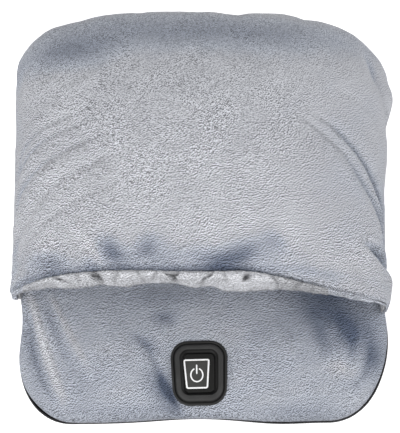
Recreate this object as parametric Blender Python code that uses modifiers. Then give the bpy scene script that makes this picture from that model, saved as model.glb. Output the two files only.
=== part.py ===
"""Electric foot warmer: a heated sole pad, a stuffed plush hood and a push-button controller.

Metres, +Z up. The toes point to +Y, the mouth of the hood and the open apron to -Y. The origin is on the
floor under the middle of the whole object.
"""
import math

import bmesh
import bpy
import numpy as np

# The pad, seen from above: its edge is where the sole's plush ends.
PAD_WIDTH = 0.278
PAD_LENGTH = 0.3175
FRONT_CORNER_WIDTH = 0.042
FRONT_CORNER_DEPTH = 0.052
REAR_CORNER_WIDTH = 0.105
REAR_CORNER_DEPTH = 0.050
FRONT_DIP = 0.004
FRONT_DIP_REACH = 0.045

# Heights of the pad's layers, from the floor up.
BASE_THICKNESS = 0.0012
BASE_RIM_HEIGHT = 0.006
BASE_RIM_OVERHANG = 0.001
FOAM_THICKNESS = 0.0065
FOIL_THICKNESS = 0.0003
FELT_THICKNESS = 0.0015
PLUSH_THICKNESS = 0.002
PAD_SHOULDER = 0.0213
PAD_ROLL = 0.0125
PAD_CROWN = 0.0024
PAD_SEAT_REACH = 0.030
PAD_SEAT_BLEND = 0.026

# Clearances.
GAP = 0.0003
LAYER_GAP = 0.0007
FIT = 0.0004
OVERRUN = 0.002
WELD_DISTANCE = 0.00001

# The hood. Its front edge lies MOUTH_INSET behind the middle of the pad's front edge.
MOUTH_INSET = 0.1005
HOOD_RISE = 0.090
HOOD_BULGE = 0.0026
HOOD_FLARE = 0.0024
HOOD_TRIM = 0.0014
HOOD_BATTING_THICKNESS = 0.008
LINING_THICKNESS = 0.0025
HOOD_PUFF = 0.0036
HOOD_PUFF_REACH = 0.042
HOOD_SWELL = 0.0026
HOOD_SWELL_REACH = 0.025
HOOD_FOLD_DEPTH = 0.0032
HOOD_FOLD_WIDTH = 0.011
HOOD_GATHER_DEPTH = 0.0016
HOOD_GATHER_REACH = 0.030

# The cuff is a fat roll in the middle of the mouth and thins to its ends.
CUFF_DEPTH = 0.0145
CUFF_LEFT_DEPTH = 0.0085
CUFF_RIGHT_DEPTH = 0.0065
CUFF_PROUD = 0.0011
CUFF_GATHER_DEPTH = 0.0024
CUFF_GATHER_WIDTH = 0.006

# The controller, seen from above, is a rounded tablet a little narrower in front.
TABLET_WIDTH = 0.0438
TABLET_LENGTH = 0.0496
TABLET_CORNER = 0.0137
TABLET_TAPER_SHARE = 0.09
TABLET_FROM_FRONT = 0.0120
TABLET_TURN = math.radians(1.5)
BEZEL_LIP_WIDTH = 0.0026
BEZEL_LIP_HEIGHT = 0.0009
BEZEL_RIM_WIDTH = 0.0054
BEZEL_RIM_HEIGHT = 0.0030
BEZEL_RIM_ROUND = 0.0009
BEZEL_SLOPE_WIDTH = 0.0016
BUTTON_RECESS = 0.0016
BUTTON_THICKNESS = 0.0018
BUTTON_EDGE = 0.0004
BUTTON_STEM_RADIUS = 0.0021
BUTTON_TRAVEL = 0.0005
HOUSING_INSET = 0.0027
HOUSING_WALL = 0.0016
DECK_THICKNESS = 0.0017
DECK_CLEARANCE = 0.0006
COVER_THICKNESS = 0.0016
POST_RADIUS = 0.0023
POST_HEIGHT = 0.0014
POST_FROM_SIDE = 0.0068
POST_FROM_END = 0.0068
BOARD_THICKNESS = 0.0012
BOARD_MARGIN = 0.0006
SCREW_SHANK_RADIUS = 0.0008
SCREW_HEAD_RADIUS = 0.0016
SCREW_HEAD_HEIGHT = 0.0009
SCREW_LENGTH = 0.0062
WINDOW_WIDTH = 0.0034
WINDOW_LENGTH = 0.0026
WINDOW_OFFSET = 0.0078
NOTCH_WIDTH = 0.0145
NOTCH_DEPTH = 0.0070
SIDE_NOTCH_WIDTH = 0.0050
SIDE_NOTCH_DEPTH = 0.0055

# Parts on the circuit board.
SWITCH_SIZE = 0.006
SWITCH_HEIGHT = 0.0026
PLUNGER_RADIUS = 0.0017
PLUNGER_PROUD = 0.0013
SWITCH_BORE_DEPTH = 0.0012
LED_WIDTH = 0.0028
LED_LENGTH = 0.0020
LED_HEIGHT = 0.0012
CHIP_WIDTH = 0.0060
CHIP_LENGTH = 0.0045
CHIP_HEIGHT = 0.0011
CHIP_OFFSET = 0.0112
CONNECTOR_WIDTH = 0.0110
CONNECTOR_LENGTH = 0.0042
CONNECTOR_HEIGHT = 0.0026
CONNECTOR_OFFSET = 0.0128
SMALL_EDGE = 0.0003

# Heating wire, leads and what is in line with them.
WIRE_RADIUS = 0.0011
WIRE_RUNS = 10
WIRE_SIDE_INSET = 0.031
WIRE_FRONT_INSET = 0.0875
WIRE_REAR_INSET = 0.036
LEAD_RADIUS = 0.0010
LEAD_SPACING = 0.0042
SENSOR_LEAD_RADIUS = 0.0008
SPLICE_RADIUS = 0.0015
SPLICE_LENGTH = 0.009
CUTOUT_WIDTH = 0.0065
CUTOUT_LENGTH = 0.013
SENSOR_LENGTH = 0.007
SENSOR_REACH = 0.100
LEAD_BEND = 0.030
POWER_LEAD_SIDE = 0.0165
POWER_LEAD_END = 0.029

# The inlet in the middle of the toe end.
SOCKET_WIDTH = 0.0094
SOCKET_HEIGHT = 0.0084
SOCKET_LENGTH = 0.0150
SOCKET_BORE_RADIUS = 0.0028
SOCKET_BORE_DEPTH = 0.0095
PIN_RADIUS = 0.0010
PIN_LENGTH = 0.0080
SURROUND_WALL = 0.0020
SURROUND_PROUD = 0.0012
SURROUND_EDGE = 0.0008

# Heights that follow from the layers.
FOAM_BOTTOM = BASE_THICKNESS + GAP
FOIL_BOTTOM = FOAM_BOTTOM + FOAM_THICKNESS + GAP
FELT_BOTTOM = FOIL_BOTTOM + FOIL_THICKNESS + GAP
WIRE_BED = FELT_BOTTOM + FELT_THICKNESS + GAP
WIRE_HEIGHT = WIRE_BED + SPLICE_RADIUS
BATTING_BOTTOM = WIRE_BED + 2 * SPLICE_RADIUS + GAP
PLUSH_EDGE = BASE_RIM_HEIGHT + GAP
UNCUT_EDGE = PLUSH_EDGE - PLUSH_THICKNESS
HOOD_BOTTOM = PAD_SHOULDER + PAD_CROWN / 4 + GAP
HOOD_FOOT = HOOD_BOTTOM - HOOD_TRIM
BEZEL_BOTTOM = PAD_SHOULDER + GAP
BUTTON_TOP = BEZEL_BOTTOM + BEZEL_RIM_HEIGHT - BUTTON_RECESS
BUTTON_BOTTOM = BUTTON_TOP - BUTTON_THICKNESS
DECK_TOP = BUTTON_BOTTOM - DECK_CLEARANCE
DECK_BOTTOM = DECK_TOP - DECK_THICKNESS
COVER_TOP = WIRE_BED + COVER_THICKNESS
BOARD_BOTTOM = COVER_TOP + POST_HEIGHT + GAP
BOARD_TOP = BOARD_BOTTOM + BOARD_THICKNESS
ON_BOARD = BOARD_TOP + GAP
PLUNGER_BOTTOM = ON_BOARD + SWITCH_HEIGHT - SWITCH_BORE_DEPTH + BUTTON_TRAVEL + GAP
PLUNGER_TOP = ON_BOARD + SWITCH_HEIGHT + PLUNGER_PROUD
STEM_BOTTOM = PLUNGER_TOP + GAP

# Places from the pad's own middle.
PAD_REAR = PAD_LENGTH / 2
PAD_FRONT = -PAD_REAR
MOUTH = PAD_FRONT + MOUTH_INSET - FRONT_DIP
TABLET_MIDDLE = PAD_FRONT + TABLET_FROM_FRONT + TABLET_LENGTH / 2
WIRE_PITCH = (PAD_WIDTH - 2 * WIRE_SIDE_INSET) / (WIRE_RUNS - 1)
WIRE_FRONT = PAD_FRONT + WIRE_FRONT_INSET + WIRE_PITCH / 2
WIRE_REAR = PAD_REAR - WIRE_REAR_INSET - WIRE_PITCH / 2
HOOD_GROWTH = GAP + PLUSH_THICKNESS
SHEET_INSET = PLUSH_THICKNESS + PAD_ROLL / 4 + GAP
SURROUND_BACK = PAD_REAR - PLUSH_THICKNESS + GAP
SURROUND_FRONT = PAD_REAR + HOOD_GROWTH + SURROUND_PROUD
SOCKET_FRONT = SURROUND_FRONT - GAP

# The whole object reaches further past the pad at the toes than at the front.
MIDDLE_SHIFT = (HOOD_GROWTH + SURROUND_PROUD - BASE_RIM_OVERHANG) / 2

QUARTER = math.pi / 2

# Shapes written as shares: how square the arch and the side view are, where the folds and gathers lie.
ARCH_SQUARE_SHARE = 2.3
TOE_SQUARE_SHARE = 2.6
TOE_STEEP_SHARE = 2.0
ROW_CROWDING_SHARE = 1.3
POWER_LEAD_CORNER_SHARE = 0.78
HOOD_FOLD_SHARES = (
    ((-0.99, 0.19), (-0.60, 0.32)),
    ((-0.97, 0.04), (-0.77, 0.23)),
    ((-0.77, 0.23), (-0.60, 0.32)),
    ((-0.97, 0.36), (-0.89, 0.45)),
    ((0.76, 0.34), (0.90, 0.20)),
    ((0.90, 0.20), (0.99, 0.05)),
)
HOOD_SWELL_SHARES = ((-0.83, -0.17), (-0.78, 0.56), (0.86, -0.22), (0.78, 0.58), (0.66, 0.10))
SMALLEST_SHARE = 0.001
GATHER_SHARES = (-0.72, -0.52, -0.14, 0.04, 0.24, 0.55)

PAD_COLUMNS = 18
PAD_ROWS = 20
HOOD_COLUMNS = 24
HOOD_ROWS = 16
OUTLINE_STEPS = 16
CUFF_POINTS = 42
CUFF_SIDES = 10
CORNER_STEPS = 6
ROUND_STEPS = 14
SMALL_STEPS = 8
TURN_STEPS = 6
LEAD_POINTS = 18
BEND_STEPS = 12

BLACK_CLOTH = (0.012, 0.012, 0.014)
PLUSH_BLUE = (0.34, 0.37, 0.42)
LINING_GREY = (0.52, 0.53, 0.57)
FILL_WHITE = (0.80, 0.80, 0.78)
FOAM_GREY = (0.35, 0.35, 0.36)
FOIL_SILVER = (0.80, 0.80, 0.82)
FELT_CREAM = (0.62, 0.58, 0.50)
WIRE_RED = (0.45, 0.05, 0.03)
LEAD_BLACK = (0.02, 0.02, 0.02)
RUBBER_BLACK = (0.030, 0.030, 0.030)
CAP_BLACK = (0.020, 0.020, 0.020)
CASE_BLACK = (0.035, 0.035, 0.038)
BOARD_GREEN = (0.03, 0.16, 0.06)
CHIP_BLACK = (0.015, 0.015, 0.018)
LED_WHITE = (0.85, 0.85, 0.80)
CONNECTOR_CREAM = (0.70, 0.66, 0.56)
STEEL = (0.60, 0.60, 0.62)
BRASS = (0.70, 0.55, 0.28)


def clear_scene():
    """Remove what the scene holds, so that the part is alone in it."""
    for item in list(bpy.data.objects):
        bpy.data.objects.remove(item, do_unlink=True)


def new_collection(name):
    """Make a collection in the scene."""
    collection = bpy.data.collections.new(name)
    bpy.context.scene.collection.children.link(collection)
    return collection


def new_material(name, colour, roughness, metallic=0.0):
    """Make a plain Principled material."""
    material = bpy.data.materials.new(name)
    material.use_nodes = True
    shader = material.node_tree.nodes["Principled BSDF"]
    shader.inputs["Base Color"].default_value = (*colour, 1)
    shader.inputs["Roughness"].default_value = roughness
    shader.inputs["Metallic"].default_value = metallic
    material.diffuse_color = (*colour, 1)
    return material


def empty(name, parent, location, turn=0.0):
    """Make an empty that carries other objects."""
    item = bpy.data.objects.new(name, None)
    parts.objects.link(item)
    item.location = location
    item.rotation_euler = (0, 0, turn)
    item.parent = parent
    return item


def add(name, data, parent, material, location=(0, 0, 0)):
    """Put a mesh or curve into the part as one named object with its material."""
    item = bpy.data.objects.new(name, data)
    parts.objects.link(item)
    item.parent = parent
    item.location = location
    data.materials.clear()
    data.materials.append(material)
    return item


def add_cutter(name, data, parent, location=(0, 0, 0)):
    """Put a mesh among the cutters, which shape other objects and aren't part of the object."""
    item = bpy.data.objects.new(name, data)
    cutters.objects.link(item)
    item.parent = parent
    item.location = location
    item.display_type = "WIRE"
    item.hide_render = True
    return item


def combine(item, other, operation):
    """Cut another object away from this one (DIFFERENCE) or join it on (UNION)."""
    modifier = item.modifiers.new(f"{operation} {other.name}", "BOOLEAN")
    modifier.operation = operation
    modifier.object = other
    modifier.solver = "EXACT"


def soften(item, width, segments=2):
    """Round a piece's sharp edges."""
    modifier = item.modifiers.new("Rounded edges", "BEVEL")
    modifier.width = width
    modifier.segments = segments
    modifier.limit_method = "ANGLE"


def smooth(data, angle=math.radians(40)):
    """Shade a mesh smooth, but for its sharp edges."""
    data.shade_smooth()
    data.set_sharp_from_angle(angle=angle)


def box_mesh(name, width, length, low, high):
    """A box centred on the origin in X and Y, between two heights."""
    net = bmesh.new()
    bmesh.ops.create_cube(net, size=1)
    bmesh.ops.scale(net, vec=(width, length, high - low), verts=net.verts)
    bmesh.ops.translate(net, vec=(0, 0, (low + high) / 2), verts=net.verts)
    return finished_mesh(name, net)


def cylinder_mesh(name, radius, low, high, steps=ROUND_STEPS):
    """An upright cylinder between two heights."""
    net = bmesh.new()
    bmesh.ops.create_cone(
        net, cap_ends=True, segments=steps, radius1=radius, radius2=radius, depth=high - low)
    bmesh.ops.translate(net, vec=(0, 0, (low + high) / 2), verts=net.verts)
    return finished_mesh(name, net)


def finished_mesh(name, net):
    """Turn a bmesh into a mesh."""
    mesh = bpy.data.meshes.new(name)
    net.to_mesh(mesh)
    net.free()
    return mesh


def screw_mesh(name):
    """A pan-head screw, head down, turned from its profile with the shank up."""
    profile = [
        (0, SCREW_HEAD_HEIGHT + SCREW_LENGTH),
        (SCREW_SHANK_RADIUS / 2, SCREW_HEAD_HEIGHT + SCREW_LENGTH),
        (SCREW_SHANK_RADIUS, SCREW_HEAD_HEIGHT + SCREW_LENGTH - SCREW_SHANK_RADIUS),
        (SCREW_SHANK_RADIUS, SCREW_HEAD_HEIGHT),
        (SCREW_HEAD_RADIUS, SCREW_HEAD_HEIGHT),
        (SCREW_HEAD_RADIUS, SCREW_HEAD_HEIGHT / 2),
        (SCREW_HEAD_RADIUS / 2, 0),
        (0, 0),
    ]
    mesh = bpy.data.meshes.new(name)
    edges = [(i, i + 1) for i in range(len(profile) - 1)]
    mesh.from_pydata([(radius, 0, height) for radius, height in profile], edges, [])
    return mesh


def turn(item, steps):
    """Spin an object's profile once round its Z axis."""
    modifier = item.modifiers.new("Turned", "SCREW")
    modifier.axis = "Z"
    modifier.steps = steps
    modifier.render_steps = steps
    modifier.use_merge_vertices = True
    modifier.merge_threshold = WELD_DISTANCE


def pad_plan(x, y, growth):
    """Bend a rectangular net to the pad's plan, grown outwards by growth, and measure to its edge.

    Each corner's share of the net has points (p, q), counted 0 to 1 from the corner's inner end. They
    move to (p sqrt(1 - q^2 / 2), q sqrt(1 - p^2 / 2)), so the net's corner becomes a quarter of an
    ellipse. sqrt(p^2 + q^2 - p^2 q^2) is then 1 on the edge. The front edge is also drawn in a little
    in its middle.
    """
    half_width = PAD_WIDTH / 2 + growth
    half_length = PAD_LENGTH / 2 + growth
    corner_width = np.where(y > 0, REAR_CORNER_WIDTH, FRONT_CORNER_WIDTH) + growth
    corner_depth = np.where(y > 0, REAR_CORNER_DEPTH, FRONT_CORNER_DEPTH) + growth
    from_side = half_width - np.abs(x)
    from_end = half_length - np.abs(y)
    p = np.clip(1 - from_side / corner_width, 0, 1)
    q = np.clip(1 - from_end / corner_depth, 0, 1)
    reach = np.hypot(p * corner_width, q * corner_depth) / np.maximum(np.hypot(p, q), SMALLEST_SHARE)
    round_share = np.sqrt(p * p + q * q - p * p * q * q)
    in_corner = (p > 0) & (q > 0)
    to_edge = np.where(in_corner, (1 - round_share) * reach, np.minimum(from_side, from_end))
    x_round = half_width - corner_width * (1 - p * np.sqrt(1 - q * q / 2))
    y_round = half_length - corner_depth * (1 - q * np.sqrt(1 - p * p / 2))
    x_new = np.where(in_corner, np.sign(x) * x_round, x)
    y_new = np.where(in_corner, np.sign(y) * y_round, y)
    front_share = np.clip(-y / half_length, 0, 1) ** 6
    y_new = y_new + FRONT_DIP * np.exp(-(x / FRONT_DIP_REACH) ** 2) * front_share
    return x_new, y_new, np.maximum(to_edge, 0)


def pad_outline(growth):
    """Points round the pad's edge, grown outwards by growth, counter-clockwise from the front left."""
    share = np.sin(np.linspace(-1, 1, OUTLINE_STEPS, endpoint=False) * QUARTER)
    ones = np.ones(OUTLINE_STEPS)
    along = np.concatenate([share, ones, -share, -ones])
    across = np.concatenate([-ones, share, ones, -share])
    x, y, _ = pad_plan(
        along * (PAD_WIDTH / 2 + growth), across * (PAD_LENGTH / 2 + growth), growth)
    return np.column_stack([x, y])


def pad_top(x, y, to_edge):
    """Height of the pad's upper side: a quarter-round roll at the edge, a low crown in the middle.

    The cloth is pressed flat under and round the controller.
    """
    inward = 1 - np.minimum(to_edge / PAD_ROLL, 1)
    roll = np.sqrt(1 - inward * inward)
    crown = (1 - (2 * x / PAD_WIDTH) ** 2) * (1 - (2 * y / PAD_LENGTH) ** 2)
    from_tablet = np.hypot(x, y - TABLET_MIDDLE)
    freed = np.clip((from_tablet - PAD_SEAT_REACH) / PAD_SEAT_BLEND, 0, 1)
    freed = freed * freed * (3 - 2 * freed)
    return UNCUT_EDGE + (PAD_SHOULDER - UNCUT_EDGE) * roll + PAD_CROWN * np.clip(crown, 0, 1) * freed


def net_mesh(name, columns, rows, place):
    """Make a square net and move its points by place(s, t), where s and t run from -1 to 1."""
    net = bmesh.new()
    bmesh.ops.create_grid(net, x_segments=columns, y_segments=rows, size=1)
    mesh = finished_mesh(name, net)
    points = np.empty(len(mesh.vertices) * 3)
    mesh.vertices.foreach_get("co", points)
    points = points.reshape(-1, 3)
    mesh.vertices.foreach_set("co", place(points[:, 0], points[:, 1]).ravel())
    mesh.update()
    return mesh


def sunk_mesh(name, mesh, depth, held_front=False):
    """Copy a net, moved inwards along its own normals by depth, so that the layers nest evenly.

    With held_front, the points keep their place along Y, so that all layers end in one plane.
    """
    count = len(mesh.vertices)
    points = np.empty(count * 3)
    normals = np.empty(count * 3)
    mesh.vertices.foreach_get("co", points)
    mesh.vertex_normals.foreach_get("vector", normals)
    points = points.reshape(-1, 3)
    normals = normals.reshape(-1, 3)
    moved = points - normals * depth
    if held_front:
        at_mouth = points[:, 1] < MOUTH + GAP
        moved[at_mouth, 1] = MOUTH
    copy = mesh.copy()
    copy.name = name
    copy.vertices.foreach_set("co", moved.ravel())
    copy.update()
    return copy


def give_thickness(item, thickness):
    """Thicken an open net inwards. The net is cut into triangles first, alike in every layer."""
    triangles = item.modifiers.new("Triangles", "TRIANGULATE")
    triangles.quad_method = "FIXED"
    shell = item.modifiers.new("Cloth thickness", "SOLIDIFY")
    shell.thickness = thickness
    shell.offset = -1
    shell.use_even_offset = False


def sole_place(s, t):
    """Points of the sole plush's outer side."""
    x, y, to_edge = pad_plan(
        PAD_WIDTH / 2 * np.sin(s * QUARTER), PAD_LENGTH / 2 * np.sin(t * QUARTER), 0.0)
    return np.column_stack([x, y, pad_top(x, y, to_edge)])


def flat_sheet(name, growth, thickness):
    """A flat sheet of the pad's plan, as a filled outline with half its thickness on either side."""
    curve = bpy.data.curves.new(name, "CURVE")
    curve.dimensions = "2D"
    curve.fill_mode = "BOTH"
    curve.extrude = thickness / 2
    line = curve.splines.new("POLY")
    outline = pad_outline(growth)
    line.points.add(len(outline) - 1)
    for point, (x, y) in zip(line.points, outline):
        point.co = (x, y, 0, 1)
    line.use_cyclic_u = True
    return curve


def as_mesh(item):
    """Turn a curve object into a mesh object with welded caps, so that it can be cut or can cut."""
    bpy.context.view_layer.update()
    graph = bpy.context.evaluated_depsgraph_get()
    mesh = bpy.data.meshes.new_from_object(item.evaluated_get(graph))
    net = bmesh.new()
    net.from_mesh(mesh)
    bmesh.ops.remove_doubles(net, verts=net.verts, dist=WELD_DISTANCE)
    bmesh.ops.recalc_face_normals(net, faces=net.faces)
    net.to_mesh(mesh)
    net.free()
    name, parent, place = item.name, item.parent, item.matrix_world.copy()
    holder = item.users_collection[0]
    shown, kind = item.hide_render, item.display_type
    bpy.data.objects.remove(item)
    solid = bpy.data.objects.new(name, mesh)
    holder.objects.link(solid)
    solid.parent = parent
    solid.matrix_world = place
    solid.hide_render = shown
    solid.display_type = kind
    return solid


def loft_mesh(name, rings, ring_round=False):
    """Skin between rings with the same number of points.

    The ends are closed with flat faces, or, with ring_round, the last ring is joined to the first.
    """
    count = len(rings[0])
    steps = np.arange(count)
    after = np.roll(steps, -1)
    faces = []
    pairs = [(i, i + 1) for i in range(len(rings) - 1)]
    if ring_round:
        pairs.append((len(rings) - 1, 0))
    else:
        faces.append(steps[::-1].tolist())
        faces.append((steps + (len(rings) - 1) * count).tolist())
    for low, high in pairs:
        quads = np.column_stack([
            steps + low * count, after + low * count, after + high * count, steps + high * count])
        faces.extend(quads.tolist())
    mesh = bpy.data.meshes.new(name)
    mesh.from_pydata(np.concatenate(rings).tolist(), [], faces)
    mesh.update()
    return mesh


def tablet_ring(inset, height):
    """The controller's outline drawn in by inset: a rounded rectangle, narrower towards the front."""
    radius = max(TABLET_CORNER - inset, TABLET_CORNER / 4)
    across = TABLET_WIDTH / 2 - inset - radius
    along = TABLET_LENGTH / 2 - inset - radius
    quarter = np.linspace(0, QUARTER, CORNER_STEPS)
    angles = np.concatenate([quarter + turn * QUARTER for turn in range(4)])
    side_x = np.repeat([1, -1, -1, 1], CORNER_STEPS)
    side_y = np.repeat([1, 1, -1, -1], CORNER_STEPS)
    x = side_x * across + radius * np.cos(angles)
    y = side_y * along + radius * np.sin(angles)
    x = x * (1 - TABLET_TAPER_SHARE * (0.5 - y / TABLET_LENGTH))
    return np.column_stack([x, y, np.full(len(x), height)])


def tablet_solid(name, inset, low, high):
    """An upright block of the controller's outline."""
    return loft_mesh(name, [tablet_ring(inset, low), tablet_ring(inset, high)])


def tube(name, points, radius, parent, material):
    """A round cord through the given points, with filled ends."""
    curve = bpy.data.curves.new(name, "CURVE")
    curve.dimensions = "3D"
    curve.bevel_depth = radius
    curve.bevel_resolution = 2
    curve.use_fill_caps = True
    line = curve.splines.new("POLY")
    line.points.add(len(points) - 1)
    for point, place in zip(line.points, points):
        point.co = (*place, 1)
    return add(name, curve, parent, material)


def even_points(points, count):
    """Points at even steps along a line of close points."""
    steps = np.linalg.norm(np.diff(points, axis=0), axis=1)
    along = np.concatenate([[0], np.cumsum(steps)])
    wanted = np.linspace(0, along[-1], count)
    return np.column_stack([np.interp(wanted, along, points[:, axis]) for axis in range(3)])


def smooth_route(corners, bend, count):
    """A route through corners, each rounded by a quadratic bend that starts bend before it."""
    corners = np.array(corners, float)
    pieces = [corners[:1]]
    for before, corner, after in zip(corners[:-2], corners[1:-1], corners[2:]):
        to_before = before - corner
        to_after = after - corner
        reach = min(bend, np.linalg.norm(to_before) / 2, np.linalg.norm(to_after) / 2)
        first = corner + to_before / np.linalg.norm(to_before) * reach
        last = corner + to_after / np.linalg.norm(to_after) * reach
        share = np.linspace(0, 1, BEND_STEPS)[:, None]
        pieces.append((1 - share) ** 2 * first + 2 * share * (1 - share) * corner + share ** 2 * last)
    pieces.append(corners[-1:])
    return even_points(np.concatenate(pieces), count)


def distance_to_line(x, y, start, end):
    """Distance in plan from points to the straight line between two places."""
    run = np.array(end) - np.array(start)
    share = ((x - start[0]) * run[0] + (y - start[1]) * run[1]) / (run @ run)
    share = np.clip(share, 0, 1)
    return np.hypot(x - start[0] - share * run[0], y - start[1] - share * run[1])


def hood_place(s, t):
    """Points of the hood's outer side above the pad, from one side over the top to the other.

    Across, the arch is a superellipse: x = a sin(k s)^(2 / n), z = h cos(k s)^(2 / n). Along, the top
    runs level at the mouth and falls to the toes as (1 - v^2.6)^(1 / 2), with v = 0 at the mouth. The
    side bulges a little over its foot, most at the mouth.
    """
    half_width = PAD_WIDTH / 2 + HOOD_GROWTH
    rear = PAD_REAR + HOOD_GROWTH
    sine = np.sin(np.abs(s) * QUARTER)
    cosine = np.cos(np.abs(s) * QUARTER)
    across = np.sign(s) * sine ** (2 / ARCH_SQUARE_SHARE)
    arch = np.clip(cosine, 0, 1) ** (2 / ARCH_SQUARE_SHARE)
    along = np.sin((t + 1) / 2 * QUARTER) ** ROW_CROWDING_SHARE
    fall = np.clip(1 - along ** TOE_SQUARE_SHARE, 0, 1) ** (1 / TOE_STEEP_SHARE)
    y_flat = MOUTH + (rear - MOUTH) * along
    x, y, _ = pad_plan(half_width * across, y_flat, HOOD_GROWTH)
    height_share = arch * fall
    bulge = (HOOD_BULGE + HOOD_FLARE * (1 - along) ** 2) * np.sin(math.pi * height_share)
    x = x + bulge * np.sign(s) * np.abs(across) ** 4
    y = y + bulge * along ** 6
    z = HOOD_FOOT + (HOOD_RISE + HOOD_TRIM) * height_share
    return np.column_stack([x, y, z])


def add_hood_folds(mesh):
    """Puff a hood net up and press its main creases in, along its normals.

    The top puffs up behind the mouth's seam, as (1 - cos(k v)) / 2 over the puff's reach, and swells a
    little more beside the creases. A fan of creases runs up from the left edge and one long crease down
    the right side. Short gathers start behind the cuff. All fade out at the net's lower edge, where the
    cloth is sewn down.
    """
    count = len(mesh.vertices)
    points = np.empty(count * 3)
    normals = np.empty(count * 3)
    mesh.vertices.foreach_get("co", points)
    mesh.vertex_normals.foreach_get("vector", normals)
    points = points.reshape(-1, 3)
    normals = normals.reshape(-1, 3)
    x, y, z = points.T
    upward = np.clip(normals[:, 2], 0, 1)
    behind = np.clip((y - MOUTH) / HOOD_PUFF_REACH, 0, 1)
    lift = np.clip((z - HOOD_BOTTOM) / HOOD_RISE, 0, 1)
    depth = -HOOD_PUFF * (1 - np.cos(math.pi * behind)) / 2 * lift * upward
    scale = np.array([PAD_WIDTH / 2, PAD_LENGTH / 2])
    for place in HOOD_SWELL_SHARES:
        middle = np.array(place) * scale
        away = np.hypot(x - middle[0], y - middle[1]) / HOOD_SWELL_REACH
        depth -= HOOD_SWELL * upward * np.exp(-away ** 2)
    for start, end in HOOD_FOLD_SHARES:
        away = distance_to_line(x, y, np.array(start) * scale, np.array(end) * scale)
        depth += HOOD_FOLD_DEPTH * np.exp(-(away / HOOD_FOLD_WIDTH) ** 2)
    back = np.clip((y - MOUTH) / HOOD_GATHER_REACH, 0, 1)
    fade = (1 + np.cos(math.pi * back)) / 2
    for share in GATHER_SHARES:
        away = (x - share * PAD_WIDTH / 2) / (CUFF_GATHER_WIDTH * 2)
        depth += HOOD_GATHER_DEPTH * fade * np.exp(-away ** 2)
    sewn = np.clip((z - HOOD_BOTTOM) / (HOOD_RISE / 4), 0, 1)
    normals[:, 1] *= np.clip((y - MOUTH) / HOOD_GATHER_REACH, 0, 1)
    mesh.vertices.foreach_set("co", (points - normals * (depth * sewn)[:, None]).ravel())
    mesh.update()


def hang_skirt(mesh):
    """Extrude the hood plush's sides and toe edge straight down outside the pad, past its hem."""
    net = bmesh.new()
    net.from_mesh(mesh)
    edges = [
        edge for edge in net.edges
        if edge.is_boundary and not all(vert.co.y < MOUTH + GAP for vert in edge.verts)]
    made = bmesh.ops.extrude_edge_only(net, edges=edges)["geom"]
    for item in made:
        if isinstance(item, bmesh.types.BMVert):
            item.co.z = UNCUT_EDGE
    bmesh.ops.recalc_face_normals(net, faces=net.faces)
    net.to_mesh(mesh)
    net.free()


def make_pad(root):
    """The sole pad's layers, from the black base cloth up to the plush."""
    cloth = as_mesh(add(
        "base_cloth", flat_sheet("base_cloth", BASE_RIM_OVERHANG, BASE_RIM_HEIGHT), root,
        materials["base"], (0, 0, BASE_RIM_HEIGHT / 2)))
    tray = as_mesh(add_cutter(
        "base_tray", flat_sheet("base_tray", BASE_RIM_OVERHANG - BASE_THICKNESS, BASE_RIM_HEIGHT), root,
        (0, 0, BASE_THICKNESS + BASE_RIM_HEIGHT / 2)))
    combine(cloth, tray, "DIFFERENCE")

    sheets = (
        ("sole_foam", FOAM_BOTTOM, FOAM_THICKNESS, "foam"),
        ("reflective_foil", FOIL_BOTTOM, FOIL_THICKNESS, "foil"),
        ("heater_felt", FELT_BOTTOM, FELT_THICKNESS, "felt"),
    )
    inlet_pocket = add_cutter(
        "inlet_pocket",
        box_mesh("inlet_pocket", SOCKET_WIDTH + 2 * GAP, 2 * (SOCKET_LENGTH + GAP),
                 WIRE_HEIGHT - SOCKET_HEIGHT / 2 - GAP, WIRE_HEIGHT + SOCKET_HEIGHT / 2 + GAP),
        root, (0, SOCKET_FRONT, 0))
    for name, low, thickness, finish in sheets:
        sheet = as_mesh(add(
            name, flat_sheet(name, -SHEET_INSET, thickness), root, materials[finish],
            (0, 0, low + thickness / 2)))
        combine(sheet, inlet_pocket, "DIFFERENCE")

    outer = net_mesh("sole_plush", PAD_COLUMNS, PAD_ROWS, sole_place)
    plush = add("sole_plush", outer, root, materials["plush"])
    outer.shade_smooth()
    give_thickness(plush, PLUSH_THICKNESS)
    aperture = add_cutter(
        "tablet_aperture",
        tablet_solid("tablet_aperture", HOUSING_INSET - FIT, WIRE_BED - OVERRUN, BEZEL_BOTTOM + OVERRUN),
        tablet)
    combine(plush, hem_cut, "DIFFERENCE")
    combine(plush, aperture, "DIFFERENCE")
    combine(plush, surround_hole, "DIFFERENCE")
    combine(plush, inlet_pocket, "DIFFERENCE")

    inner = sunk_mesh("sole_batting", outer, PLUSH_THICKNESS + LAYER_GAP)
    net = bmesh.new()
    net.from_mesh(inner)
    made = bmesh.ops.extrude_face_region(net, geom=net.faces[:])["geom"]
    below = [item for item in made if isinstance(item, bmesh.types.BMVert)]
    for vert in below:
        vert.co.z = 0
    bmesh.ops.recalc_face_normals(net, faces=net.faces)
    net.to_mesh(inner)
    net.free()
    batting = add("sole_batting", inner, root, materials["fill"])
    under = add_cutter(
        "batting_underside",
        box_mesh("batting_underside", PAD_WIDTH, PAD_LENGTH, -OVERRUN, BATTING_BOTTOM), root)
    combine(batting, under, "DIFFERENCE")
    combine(batting, aperture, "DIFFERENCE")
    combine(batting, inlet_pocket, "DIFFERENCE")


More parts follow.
